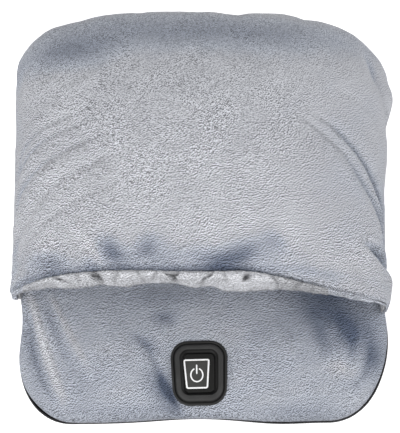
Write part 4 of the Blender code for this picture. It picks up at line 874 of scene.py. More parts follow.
def multiply_colour(tree, shader, colour, share):
    """Feed Base Color from a colour times a share."""
    tint = add_node(tree, "ShaderNodeMix", {0: 1.0, 6: colour, 7: share}, data_type="RGBA",
                    blend_type="MULTIPLY")
    tree.links.new(tint.outputs[2], shader.inputs["Base Color"])


def add_bump(tree, shader, height, strength, distance):
    """Feed Normal from a height."""
    bump = add_node(tree, "ShaderNodeBump", {"Height": height, "Strength": strength, "Distance": distance})
    tree.links.new(bump.outputs["Normal"], shader.inputs["Normal"])


def plush_material(name, colours, strand=0.00088, length=1.35, contrast=4.2, lean=1.4, bump=0.25):
    """Brushed plush: dark and light follow the piece's "brushed" values, which hold the brushing of the pile
    and painted shade and light, and the dashes of pile, over a bumped pile.

    The colour follows brushed + (tufts - 1/2) / 25, and is 1 + c (0.4 + 0.6 nap) (strands - 1/2) times as
    light.
    """
    material, tree, shader, place = start_material(
        name, Roughness=0.92, Sheen_Weight=0.16, Sheen_Roughness=0.45, Specular_IOR_Level=0.10)
    pile = fill_group(tree, fleece_group(), {
        "Vector": place, "Strand": strand, "Length": length, "Lean": lean})
    brushed = add_node(tree, "ShaderNodeAttribute", None, attribute_name="brushed").outputs["Fac"]
    nap = add_node(tree, "ShaderNodeAttribute", None, attribute_name="nap").outputs["Fac"]
    share = add_math(tree, "MULTIPLY_ADD", nap, 0.6 * contrast, 0.4 * contrast)
    dash = add_math(tree, "SUBTRACT", pile.outputs["Strands"], 0.5)
    fine = add_math(tree, "MAXIMUM", add_math(tree, "MULTIPLY_ADD", dash, share, 1.0), 0.15)
    coarse = add_math(tree, "MULTIPLY_ADD", pile.outputs["Tufts"], 0.04, -0.02)
    (_, dark), *between, (_, light) = colours
    ramp = two_colours(tree, shader, add_math(tree, "ADD", brushed, coarse), dark, light, 0.0, 1.0)
    for where, colour in between:
        ramp.color_ramp.elements.new(where).color = (*colour, 1)
    multiply_colour(tree, shader, ramp.outputs["Color"], fine)
    add_bump(tree, shader, pile.outputs["Height"], bump, 0.0009)
    return material


def moulded_material(name, low, high, roughness, grain=0.0006, depth=0.00006, shaded=False, specular=0.5):
    """Moulded plastic or rubber: a fine grain, and rubbed places that are a little smoother and lighter.

    With shaded, the piece's "shade" values scale its colour down: painted shade in its hollows.
    """
    material, tree, shader, place = start_material(name, Roughness=roughness, Specular_IOR_Level=specular)
    surface = fill_group(tree, grain_group(), {"Vector": place, "Grain": grain, "Patch": 0.018})
    speckled = add_math(tree, "MULTIPLY_ADD", surface.outputs["Grain"], 0.30, surface.outputs["Rubbed"])
    ramp = two_colours(tree, shader, speckled, low, high, 0.40, 0.85)
    if shaded:
        shade = add_node(tree, "ShaderNodeAttribute", None, attribute_name="shade").outputs["Fac"]
        multiply_colour(tree, shader, ramp.outputs["Color"], shade)
    rough = add_math(tree, "MULTIPLY_ADD", surface.outputs["Rubbed"], -0.16, roughness + 0.08)
    tree.links.new(rough, shader.inputs["Roughness"])
    add_bump(tree, shader, surface.outputs["Grain"], 0.5, depth)
    return material


def cloth_material(name, low, high, thread, roughness=0.85):
    """Woven cloth: crossed threads with uneven colour."""
    material, tree, shader, place = start_material(
        name, Roughness=roughness, Sheen_Weight=0.08, Specular_IOR_Level=0.25)
    weave = fill_group(tree, woven_group(), {"Vector": place, "Thread": thread})
    two_colours(tree, shader, weave.outputs["Threads"], low, high)
    add_bump(tree, shader, weave.outputs["Height"], 0.8, thread * 0.4)
    return material


def metal_material(name, low, high, roughness, stretch):
    """Metal with fine rub marks along one way and uneven brightness."""
    material, tree, shader, place = start_material(name, Metallic=1.0, Roughness=roughness)
    marks = stretched_noise(tree, place, 0.0012, stretch, 0.0, 3.0)
    two_colours(tree, shader, marks, low, high)
    rough = add_math(tree, "MULTIPLY_ADD", marks, 0.25, roughness - 0.1)
    tree.links.new(rough, shader.inputs["Roughness"])
    add_bump(tree, shader, marks, 0.25, 0.00008)
    return material


def fluffy_material(name, low, high, size, depth):
    """Loose fill, felt or foam: clouds of fibres or cells of one size."""
    material, tree, shader, place = start_material(
        name, Roughness=0.95, Sheen_Weight=0.15, Specular_IOR_Level=0.1)
    clouds = add_node(tree, "ShaderNodeTexNoise", {"Vector": place, "Scale": 1 / size, "Detail": 6.0,
                                                   "Roughness": 0.7, "Distortion": 0.6}).outputs["Fac"]
    two_colours(tree, shader, clouds, low, high)
    add_bump(tree, shader, clouds, 0.9, depth)
    return material


class WarmerLooks(bpy.types.PropertyGroup):
    """Sizes and colours of the foot warmer's soft parts that a user may change."""

    cloth: FloatProperty(
        name="Plush thickness", description="Thickness of the outer plush", default=0.002, min=0.001,
        max=0.003, unit="LENGTH")
    lining: FloatProperty(
        name="Lining thickness", description="Thickness of the hood's lining", default=0.0025, min=0.001,
        max=0.003, unit="LENGTH")
    fold_depth: FloatProperty(
        name="Fold depth", description="Share of the modelled depth of the creases", default=1.0, min=0,
        max=1.2, subtype="FACTOR")
    cuff_proud: FloatProperty(
        name="Cuff proud", description="How far the cuff's roll stands over the hood's edge",
        default=0.0022, min=0, max=0.004, unit="LENGTH")
    plush_dark: FloatVectorProperty(
        name="Plush, dark", description="Where the pile is brushed away from the light",
        default=(0.080, 0.098, 0.142), subtype="COLOR", min=0, max=1)
    plush_middle: FloatVectorProperty(
        name="Plush, middle", description="Most of the pad's pile", default=(0.336, 0.357, 0.404),
        subtype="COLOR", min=0, max=1)
    plush_soft: FloatVectorProperty(
        name="Plush, soft", description="Most of the hood's pile", default=(0.380, 0.388, 0.418),
        subtype="COLOR", min=0, max=1)
    plush_light: FloatVectorProperty(
        name="Plush, light", description="Where the pile is brushed towards the light",
        default=(0.580, 0.592, 0.620), subtype="COLOR", min=0, max=1)
    cuff_light: FloatVectorProperty(
        name="Cuff", description="The lining's light pile", default=(0.640, 0.647, 0.680),
        subtype="COLOR", min=0, max=1)
    mark_white: FloatVectorProperty(
        name="Power sign", description="The printed outline and power sign", default=(0.93, 0.93, 0.93),
        subtype="COLOR", min=0, max=1)


def looks():
    """The scene's settings."""
    return bpy.context.scene.warmer_looks


def finish_named(name, build):
    """A material by name, built once."""
    return bpy.data.materials.get(name) or build()


def plush_finish():
    """The blue-grey plush of the hood and the pad."""
    look = looks()
    colours = ((0, look.plush_dark), (0.46, look.plush_middle), (0.60, look.plush_soft),
               (1, look.plush_light))
    return finish_named("Blue-grey plush", lambda: plush_material("Blue-grey plush", colours))


def lining_finish():
    """The lighter, fluffier pile of the cuff and the lining."""
    light = np.array(looks().cuff_light)
    colours = ((0, light * 0.20), (0.5, light * 0.70), (1, light * 1.14))
    return finish_named("Light lining pile", lambda: plush_material(
        "Light lining pile", colours, strand=0.00095, length=1.5, contrast=4.6, lean=1.5, bump=0.8))


def fill_finish():
    """White batting."""
    return finish_named("White batting", lambda: fluffy_material(
        "White batting", (0.60, 0.60, 0.58), (0.86, 0.86, 0.84), 0.006, 0.0009))


def closed_layer(name, outer, inner, material, values=None, hole=None):
    """A closed body between two grids, with quads round its rim and round its hole, if it has one.

    hole(centres) says which faces of the grids are left out.
    """
    rows, columns = outer.shape[:2]
    count = rows * columns
    points = np.concatenate([outer.reshape(-1, 3), inner.reshape(-1, 3)])
    faces = grid_faces(rows, columns)
    if hole is not None:
        faces = faces[~hole(points[faces].mean(axis=1))]
    start, end = faces.ravel(), np.roll(faces, -1, axis=1).ravel()
    open_edge = ~np.isin(start * count + end, end * count + start)
    start, end = start[open_edge], end[open_edge]
    rim = np.column_stack([end, start, start + count, end + count])
    faces = np.concatenate([faces, faces[:, ::-1] + count, rim])
    return new_piece(name, points, faces, material, values=values)


def from_tablet(x, y):
    """Places in plan, seen from the controller's middle along its own turned axes."""
    cosine, sine = math.cos(TABLET_TURN), math.sin(TABLET_TURN)
    y = y - TABLET_MIDDLE - PAD_MIDDLE
    return x * cosine + y * sine, y * cosine - x * sine


def tablet_narrowing(y):
    """The controller's width at each place along it, as a share of its width at the toe side."""
    return 1 - TABLET_TAPER * (0.5 - y / TABLET_SIZE[1])


def tablet_distance(x, y):
    """Signed distance in plan to the controller's outline: a rounded rectangle that narrows in front."""
    x, y = from_tablet(x, y)
    out_x = np.abs(x / tablet_narrowing(y)) - (TABLET_SIZE[0] / 2 - TABLET_CORNER)
    out_y = np.abs(y) - (TABLET_SIZE[1] / 2 - TABLET_CORNER)
    outside = np.hypot(np.maximum(out_x, 0), np.maximum(out_y, 0))
    return outside + np.minimum(np.maximum(out_x, out_y), 0) - TABLET_CORNER


def tablet_ring(inset, height, steps=20):
    """The controller's outline drawn in by inset, at one height, counter-clockwise from its right side."""
    radius = max(TABLET_CORNER - inset, 0.0034)
    across = TABLET_SIZE[0] / 2 - inset - radius
    along = TABLET_SIZE[1] / 2 - inset - radius
    quarter = np.linspace(0, QUARTER, steps)
    angles = np.concatenate([quarter + turn * QUARTER for turn in range(4)])
    x = np.repeat([1, -1, -1, 1], steps) * across + radius * np.cos(angles)
    y = np.repeat([1, 1, -1, -1], steps) * along + radius * np.sin(angles)
    return on_tablet(np.column_stack([x * tablet_narrowing(y), y]), height)


def on_tablet(places, height):
    """Turn plan places on the controller and set them on the apron at one height."""
    cosine, sine = math.cos(TABLET_TURN), math.sin(TABLET_TURN)
    x = places[:, 0] * cosine - places[:, 1] * sine
    y = places[:, 0] * sine + places[:, 1] * cosine + TABLET_MIDDLE + PAD_MIDDLE
    return np.column_stack([x, y, np.full(len(x), height)])


def inside_outline(points, blur):
    """1 inside the printed outline and 0 outside, for points on the controller."""
    over, up = from_tablet(points[:, 0], points[:, 1])
    over, up = over - OUTLINE_MIDDLE[0], up - OUTLINE_MIDDLE[1]
    top, bottom, height = OUTLINE_SIZE
    half = (top + bottom) / 4 + (top - bottom) / 2 * up / height
    return eased(np.minimum(half - np.abs(over), height / 2 - np.abs(up)) / blur)


def rounded_trapezoid(middle, top, bottom, height, radius):
    """Places round a trapezoid with rounded corners, wider at the toe side."""
    corners = np.array([(top / 2, height / 2), (-top / 2, height / 2), (-bottom / 2, -height / 2),
                        (bottom / 2, -height / 2)])
    pieces = []
    for before, corner, after in zip(np.roll(corners, 1, 0), corners, np.roll(corners, -1, 0)):
        first = corner + (before - corner) / np.linalg.norm(before - corner) * radius
        last = corner + (after - corner) / np.linalg.norm(after - corner) * radius
        share = np.linspace(0, 1, 8)[:, None]
        pieces.append((1 - share) ** 2 * first + 2 * share * (1 - share) * corner + share ** 2 * last)
    return np.concatenate(pieces) + middle


def print_line(name, places, width, height, material, closed=False):
    """A printed line: a low strip along a path in plan, with rounded ends where it is open."""
    if closed:
        slope = np.roll(places, -1, 0) - np.roll(places, 1, 0)
    else:
        slope = np.gradient(places, axis=0)
    side = np.column_stack([-slope[:, 1], slope[:, 0]])
    side /= np.linalg.norm(side, axis=1, keepdims=True)
    half = np.full((len(places), 1), width / 2)
    if not closed:
        ends = np.linspace(-1, 1, 7)[:3]
        cap = np.sqrt(1 - ends ** 2)[:, None] * width / 2
        run = places[1] - places[0]
        run = run / np.linalg.norm(run)
        front = places[0] + np.outer(ends * width / 2, run)
        run = places[-1] - places[-2]
        run = run / np.linalg.norm(run)
        rear = places[-1] - np.outer(ends[::-1] * width / 2, run)
        places = np.concatenate([front, places, rear])
        side = np.concatenate([np.repeat(side[:1], 3, 0), side, np.repeat(side[-1:], 3, 0)])
        half = np.concatenate([cap, half, cap[::-1]])
    low, high = height - 0.00005, height + 0.00012
    rows = [on_tablet(places - side * half, low), on_tablet(places - side * half * 0.94, high),
            on_tablet(places + side * half * 0.94, high), on_tablet(places + side * half, low)]
    points = np.stack(rows)
    faces = grid_faces(len(rows), len(places), ring=closed)
    ring = np.arange(len(rows)) * len(places)
    if not closed:
        faces = np.concatenate([faces, [ring, (ring + len(places) - 1)[::-1]]])
    under = np.arange(len(places) - (0 if closed else 1))
    after = (under + 1) % len(places)
    base = 3 * len(places)
    faces = np.concatenate([faces, np.column_stack([base + under, base + after, after, under])])
    return new_piece(name, points, faces, material, body="button")


def tube_caps(count, around):
    """Strips of quads across both ends of a tube of count rings, each of around points."""
    caps = []
    half = around // 2
    for ring, flip in ((np.arange(around), True), (np.arange(around) + (count - 1) * around, False)):
        strip = np.column_stack([ring[:half - 1], ring[1:half], ring[-2:half - 1:-1], ring[:half:-1]])
        caps.append(strip if flip else strip[:, ::-1])
    return caps


def cuff_dimples(place, forward):
    """How deep the folds across the cuff are: exp(-(d / w)^1.5), with w the width on that side of a fold."""
    dimple = np.zeros(forward.shape)
    for centre, slant, left, right, amount, reach in CUFF_FOLDS:
        over = place[:, None] - centre - slant * (forward - 0.004)
        ridge = np.exp(-(np.abs(over) / np.where(over < 0, left, right)) ** 1.5)
        dimple += amount * ridge * eased((reach - forward) / 0.004)
    return dimple


class WARMER_OT_stage(bpy.types.Operator):
    """Make the floor, the soft lights and the camera at the photograph's angle"""

    bl_idname = "warmer.stage"
    bl_label = "Stage"

    def execute(self, context):
        floor_material = bpy.data.materials.new("Pale floor")
        floor_material.use_nodes = True
        tree = floor_material.node_tree
        tree.nodes.clear()
        path = add_node(tree, "ShaderNodeLightPath")
        seen = add_math(tree, "MAXIMUM", path.outputs["Is Camera Ray"], path.outputs["Is Glossy Ray"])
        cover = add_node(tree, "ShaderNodeBsdfDiffuse", {"Color": FLOOR_COLOUR})
        glow = add_node(tree, "ShaderNodeEmission", {
            "Color": (1, 1, 1, 1), "Strength": add_math(tree, "MULTIPLY", seen, FLOOR_GLOW)})
        both = add_node(tree, "ShaderNodeAddShader", {0: cover.outputs[0], 1: glow.outputs[0]})
        end = add_node(tree, "ShaderNodeOutputMaterial", {"Surface": both.outputs[0]})
        end.is_active_output = True
        side = np.linspace(-3, 3, 7)
        x, y = np.meshgrid(side, side)
        floor = new_piece("floor", np.stack([x, y, np.full(x.shape, -0.0002)], axis=-1),
                          grid_faces(7, 7), floor_material, body=None)

        world = bpy.data.worlds.new("Soft room")
        context.scene.world = world
        world.use_nodes = True
        sky = world.node_tree.nodes["Background"]
        sky.inputs["Color"].default_value = (1, 1, 1, 1)
        path = add_node(world.node_tree, "ShaderNodeLightPath")
        seen = add_math(world.node_tree, "MAXIMUM", path.outputs["Is Camera Ray"],
                        path.outputs["Is Transmission Ray"])
        strength = add_math(world.node_tree, "MULTIPLY_ADD", seen, 1 - SKY_STRENGTH, SKY_STRENGTH)
        world.node_tree.links.new(strength, sky.inputs["Strength"])

        for name, place, size, power in LAMPS:
            lamp = bpy.data.lights.new(name, "AREA")
            lamp.size = size
            lamp.energy = power
            item = bpy.data.objects.new(name, lamp)
            context.scene.collection.objects.link(item)
            item.location = place
            item.rotation_euler = (Vector(LAMPS_AIM) - Vector(place)).to_track_quat("-Z", "Y").to_euler()

        camera = bpy.data.cameras.new("camera")
        camera.lens = CAMERA_LENS
        camera.clip_end = 20
        item = bpy.data.objects.new("camera", camera)
        context.scene.collection.objects.link(item)
        back = Vector((0, -math.cos(CAMERA_RISE), math.sin(CAMERA_RISE)))
        item.location = Vector(CAMERA_AIM) + back * CAMERA_DISTANCE
        item.rotation_euler = (-back).to_track_quat("-Z", "Y").to_euler()
        context.scene.camera = item
        context.scene.view_settings.view_transform = "Standard"
        return {"FINISHED"}


class WARMER_OT_base(bpy.types.Operator):
    """Make the black non-slip base cloth with its turned-up edge, and the grip dots under it"""

    bl_idname = "warmer.base"
    bl_label = "Base cloth"

    def execute(self, context):
        cloth = cloth_material("Black under-cloth", (0.006, 0.006, 0.007), (0.026, 0.026, 0.029), 0.0010)
        rows, columns = TRAY_NET
        x, y, _ = pad_net(rows, columns, -0.0002, 3)
        x, y = settle_plan(x, y)
        points = np.stack([x, y + PAD_MIDDLE, np.full(x.shape, 0.0006)], axis=-1).reshape(-1, 3)
        faces = grid_faces(rows, columns)[:, ::-1]
        loop = np.concatenate([border_loop(rows, columns), np.arange(columns - 2, -1, -1)])
        rim = points[loop]
        slope = np.gradient(rim[:, :2], axis=0)
        slope[0] = slope[-1] = rim[1, :2] - rim[-2, :2]
        away = np.column_stack([-slope[:, 1], slope[:, 0]])
        away /= np.linalg.norm(away, axis=1, keepdims=True)
        # The edge stands out most at the front's corners, and waves a little all round.
        lead = 0.0002 + 0.0002 * ripple(rim, 0.05, 3)
        lead += 0.0008 * mound(rim[:, 0], rim[:, 1], (-0.116, -0.146), 0.020)
        lead += 0.0007 * mound(rim[:, 0], rim[:, 1], (0.126, -0.122), 0.046)
        lead += 0.0008 * mound(rim[:, 0], rim[:, 1], (0.060, -0.160), 0.026)
        drops = []
        for height, out in TRAY_EDGE:
            row = rim.copy()
            row[:, :2] += away * (out + lead * min(height / 0.003, 1))[:, None]
            row[:, 2] = height
            drops.append(row)
        points, faces = hang_edge(points, faces, loop[::-1], [row[::-1] for row in drops])
        base = new_piece("base_cloth_tray", points, faces, cloth)
        thicken(base, 0.0006)
        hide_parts("base_cloth")

        self.dots()
        return {"FINISHED"}

    def dots(self):
        """Grip dots in staggered lines, within the cloth's rounded plan."""
        dot_material = moulded_material("Grip dots", (0.012, 0.012, 0.013), (0.030, 0.030, 0.032), 0.5)
        lines = np.arange(-18, 19)
        column, line = np.meshgrid(lines, lines)
        spots = np.stack([(column + (line % 2) * 0.5) * DOT_PITCH, line * DOT_PITCH * 0.9], axis=-1)
        spots = spots.reshape(-1, 2)
        span_x = np.abs(spots[:, 0]) / (PAD_WIDTH / 2 - 0.008)
        span_y = np.abs(spots[:, 1]) / (PAD_LENGTH / 2 - 0.008)
        spots = spots[span_x ** 4 + span_y ** 4 < 0.92]
        # A dot is a low dome that hangs from the cloth, z = h - h (1 - r^2), on rings of eight points.
        turn = np.arange(8) / 8 * 2 * math.pi
        rings = [np.stack([r * DOT_RADIUS * np.cos(turn), r * DOT_RADIUS * np.sin(turn),
                           np.full(8, DOT_HEIGHT - DOT_HEIGHT * (1 - r * r))], axis=-1)
                 for r in (1, 0.75, 0.4, 0.1)]
        dome = np.concatenate(rings)
        dome_faces = grid_faces(4, 8, ring=True)[:, ::-1]
        cap = 24 + np.array([[0, 3, 2, 1], [0, 5, 4, 3], [0, 7, 6, 5]])
        dome_faces = np.concatenate([dome_faces, cap])
        places = np.column_stack([spots, np.zeros(len(spots))]) + [0, PAD_MIDDLE, 0]
        points = (places[:, None, :] + dome[None, :, :]).reshape(-1, 3)
        faces = (dome_faces[None] + 32 * np.arange(len(spots))[:, None, None]).reshape(-1, 4)
        dots = new_piece("grip_dots", points, faces, dot_material)
        thicken(dots, 0.0001)


class WARMER_OT_pad(bpy.types.Operator):
    """Make the pad's plush with the apron, and the soft fill under it"""

    bl_idname = "warmer.pad"
    bl_label = "Pad"

    def execute(self, context):
        self.plush(looks())
        self.fill()
        return {"FINISHED"}

    def plush(self, look):
        """The plush: the pad's top, moved by the settling, the folds and the cloth's unevenness."""
        rows, columns = PAD_NET
        x, y, to_edge = pad_net(rows, columns)
        points = np.stack([x, y, pad_top(x, y, to_edge)], axis=-1)
        coarse_x, coarse_y, coarse_edge = pad_net(*PAD_SETTLING_NET, rolled=4)
        coarse = np.stack([coarse_x, coarse_y, pad_top(coarse_x, coarse_y, coarse_edge)], axis=-1)
        seat = np.hypot(coarse_x, coarse_y - TABLET_MIDDLE)
        held = ((coarse_edge < 0.005) | (seat < 0.028)).astype(float)
        move = settled(coarse, held, 1.0, 0.010, 0.0014)
        inner = eased((to_edge - 0.006) / 0.012)
        points[..., 2] += inner * spread(move, rows, columns)[..., 2]
        points[..., 0], points[..., 1] = settle_plan(x, y)
        points[..., 1] += PAD_MIDDLE
        normal = normals_of(points)
        folds = np.zeros(x.shape)
        for path, left, right, amount in PAD_FOLDS:
            folds += amount * look.fold_depth * crease(points, normal, path, left, right)
        depth = folds.copy()
        for height, length, seed, start, over in PAD_LUMPS:
            depth -= height * ripple(points, length, seed) * eased((to_edge - start) / over)
        depth -= PUCKERS[0] * ripple(points, PUCKERS[1], 13, 20)
        # The edge's roll overhangs the hem, and is drawn in at the left front corner.
        depth -= 0.0013 * bell(to_edge, 0.0012, 0.0035) * (0.4 + 0.6 * eased(to_edge / 0.0010))
        corner = mound(points[..., 0], points[..., 1], (-0.117, -0.146), 0.018)
        depth += 0.0016 * corner * eased(1 - to_edge / 0.014)
        corner = mound(points[..., 0], points[..., 1], (0.122, -0.134), 0.036)
        depth += 0.0010 * corner * eased(1 - to_edge / 0.014)
        # The cloth dips into a shallow groove round the controller's lip, and swells a little beyond it.
        ring = tablet_distance(points[..., 0], points[..., 1])
        depth += 0.0008 * bell(ring, 0.0008, 0.0018)
        depth -= 0.0005 * bell(ring, 0.0060, 0.0034)
        depth += 0.0012 * eased(-ring / 0.003)
        points = points - normal * depth[..., None]
        points[..., 2] = np.maximum(points[..., 2], PLUSH_EDGE)
        # The plush's tone: brushing and painted shade from the table, painted shade in the creases and painted
        # light on the ridges by their depth, and the last 3 mm to the edge a little dimmer.
        shade = brushing_and_painted_shade(points, PAD_BRUSHING_AND_PAINTED_SHADE, 21, 0.48) - 60 * folds - 0.10 * eased(1 - to_edge / 0.003)
        nap = 0.50 + 0.16 * ripple(points, 0.03, 24)
        faces = grid_faces(rows, columns)
        centre = points.reshape(-1, 3)[faces].mean(axis=1)
        under = tablet_distance(centre[:, 0], centre[:, 1]) < -0.0045
        cover = new_piece("pad_plush", points, faces[~under], plush_finish(),
                          values={"brushed": np.clip(shade, 0, 1), "nap": np.clip(nap, 0, 1)})
        thicken(cover, look.cloth)
        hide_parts("sole_plush")

    def fill(self):
        """The soft fill under the plush, with a hole where the controller passes through."""
        rows, columns = PAD_FILL_NET
        x, y, to_edge = pad_net(rows, columns, -0.0030, 8)
        high = pad_top(x, y, to_edge + 0.0030) - 0.0036
        x, y = settle_plan(x, y)
        drawn = 0.0030 * mound(x, y, (-0.117, -0.145), 0.022)
        drawn += 0.0020 * mound(x, y, (0.122, -0.133), 0.036)
        far = np.maximum(np.hypot(x, y), 0.001)
        x, y = x - x / far * drawn, y - y / far * drawn
        top = np.stack([x, y + PAD_MIDDLE, high - 0.3 * drawn], axis=-1)
        top[..., 2] += 0.0003 * ripple(top, 0.009, 31)
        top[..., 2] = np.maximum(top[..., 2], BATTING_BOTTOM + 0.0004)
        low = top.copy()
        low[..., 2] = BATTING_BOTTOM

        def under_tablet(centre):
            """Where the controller passes through the fill."""
            return tablet_distance(centre[:, 0], centre[:, 1]) < 0.0012

        fill = closed_layer("pad_fill", top, low, fill_finish(), hole=under_tablet)
        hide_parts("sole_batting")


class WARMER_OT_hood(bpy.types.Operator):
    """Make the hood: its plush with the creases, the fill and the lining"""

    bl_idname = "warmer.hood"
    bl_label = "Hood"

    def execute(self, context):
        rows, columns = HOOD_NET
        plain = hood_net(rows, columns, HOOD_CROWDING)
        coarse = hood_net(*HOOD_SETTLING_NET)
        held = np.zeros(coarse.shape[:2])
        held[0] = held[-1] = 1
        held[:, 0] = held[:, -1] = 1
        move = settled(coarse, held, 2.0, 0.012, 0.0022)
        normal = normals_of(plain)
        folds = hood_forms(plain, normal)
        points = plain + spread(move, rows, columns, HOOD_CROWDING)
        x, y, z = np.moveaxis(plain, -1, 0)
        lift = (z - HOOD_FOOT) / HOOD_RISE
        back = np.cumsum(np.linalg.norm(np.diff(plain, axis=0, prepend=plain[:1]), axis=-1), axis=0)
        girth = np.cumsum(np.linalg.norm(np.diff(plain, axis=1, prepend=plain[:, :1]), axis=-1), axis=1)
        seam = mouth_seam(x, back, girth)
        depth = folds + seam
        loose = eased(lift / 0.2)
        depth -= 0.0013 * ripple(plain, 0.075, 42) * loose
        depth -= 0.0005 * ripple(plain, 0.027, 43)
        depth -= 0.00010 * ripple(plain, 0.010, 44, 18)
        depth -= PUCKERS[0] * ripple(plain, PUCKERS[1], 45, 20)
        sewn = 0.25 + 0.75 * eased(lift / 0.16)
        notch = bell(y, -0.046, 0.007) * (x > 0)
        sewn = np.maximum(sewn, notch)
        outward = normal.copy()
        outward[..., 1] *= eased(back / 0.02)
        points = points - outward * (depth * sewn)[..., None]
        # The colour takes painted shade from the depth of the creases and of the seam, and painted light from
        # the puffs.
        self.plush(points, sewn * (80 * np.maximum(folds, -0.0006) + 50 * seam))
        self.inside(plain, normal, back, depth * sewn)
        return {"FINISHED"}

    def plush(self, points, painted_fold_light_and_shade):
        """The outer plush: side hung from the border, a window for the inlet, painted shade in the creases."""
        rows, columns = HOOD_NET
        flat = points.reshape(-1, 3)
        faces = grid_faces(rows, columns)
        loop = border_loop(rows, columns)
        count = len(flat)
        flat, faces = hang_edge(flat, faces, loop, hood_side(flat[loop]))
        centre = flat[faces].mean(axis=1)
        window = (np.abs(centre[:, 0]) < 0.0060) & (np.abs(centre[:, 2] - INLET_HEIGHT) < 0.0053)
        window &= centre[:, 1] > 0.1
        shade = brushing_and_painted_shade(flat, HOOD_BRUSHING_AND_PAINTED_SHADE, 22, 0.58)
        shade[:count] -= painted_fold_light_and_shade.ravel()
        # Painted shade on the low front ends of the hood's sides, beside the mouth.
        shade -= 0.30 * eased((MOUTH + 0.002 - flat[:, 1]) / 0.006) * eased((0.026 - flat[:, 2]) / 0.008)
        nap = brushed_nap(flat, 23)
        cover = new_piece("hood_plush_cover", flat, faces[~window], plush_finish(),
                          values={"brushed": np.clip(shade, 0, 1), "nap": nap})
        thicken(cover, looks().cloth)
        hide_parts("hood_plush")

    def inside(self, plain, normal, back, depth):
        """The fill and the lining, nested under the plush on every other line of its net."""
        cloth = looks().cloth
        net, inward = plain[::2, ::2], -normal[::2, ::2]
        inward[0, :, 1] = 0
        wall = 1 - soft_interp(plain[..., 0], PINCH_PLACES, PINCHES) * (1 - eased(back / 0.034))
        wall = wall[::2, ::2]
        pressed = deepest(depth)[::2, ::2]
        foot = HOOD_FOOT + 0.0016

        def sunk(amount):
            """The net's points, each amount under the plain arch and no lower than the foot."""
            places = net + inward * amount[..., None]
            places[..., 2] = np.maximum(places[..., 2], foot)
            return places

        puff = np.minimum(pressed, 0)
        outer = sunk(pressed + cloth + 0.0010)
        inner = sunk(np.maximum(0.0108 * wall + puff, pressed + cloth + 0.0014))
        fill = closed_layer("hood_fill", outer, inner, fill_finish())
        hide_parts("hood_batting")

        wave = 0.0007 * ripple(net, 0.045, 51) + 0.0004 * ripple(net, 0.016, 52)
        outer = sunk(0.0113 * wall + puff)
        inner = sunk(HOOD_WALL * wall + puff + wave * eased((net[..., 2] - 0.03) / 0.02))
        shade = 0.50 + 0.12 * ripple(inner, 0.030, 53)
        lining = closed_layer("hood_lining_cloth", outer, inner, lining_finish(),
                              {"brushed": np.concatenate([shade.ravel(), shade.ravel()])})
        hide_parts("hood_lining")


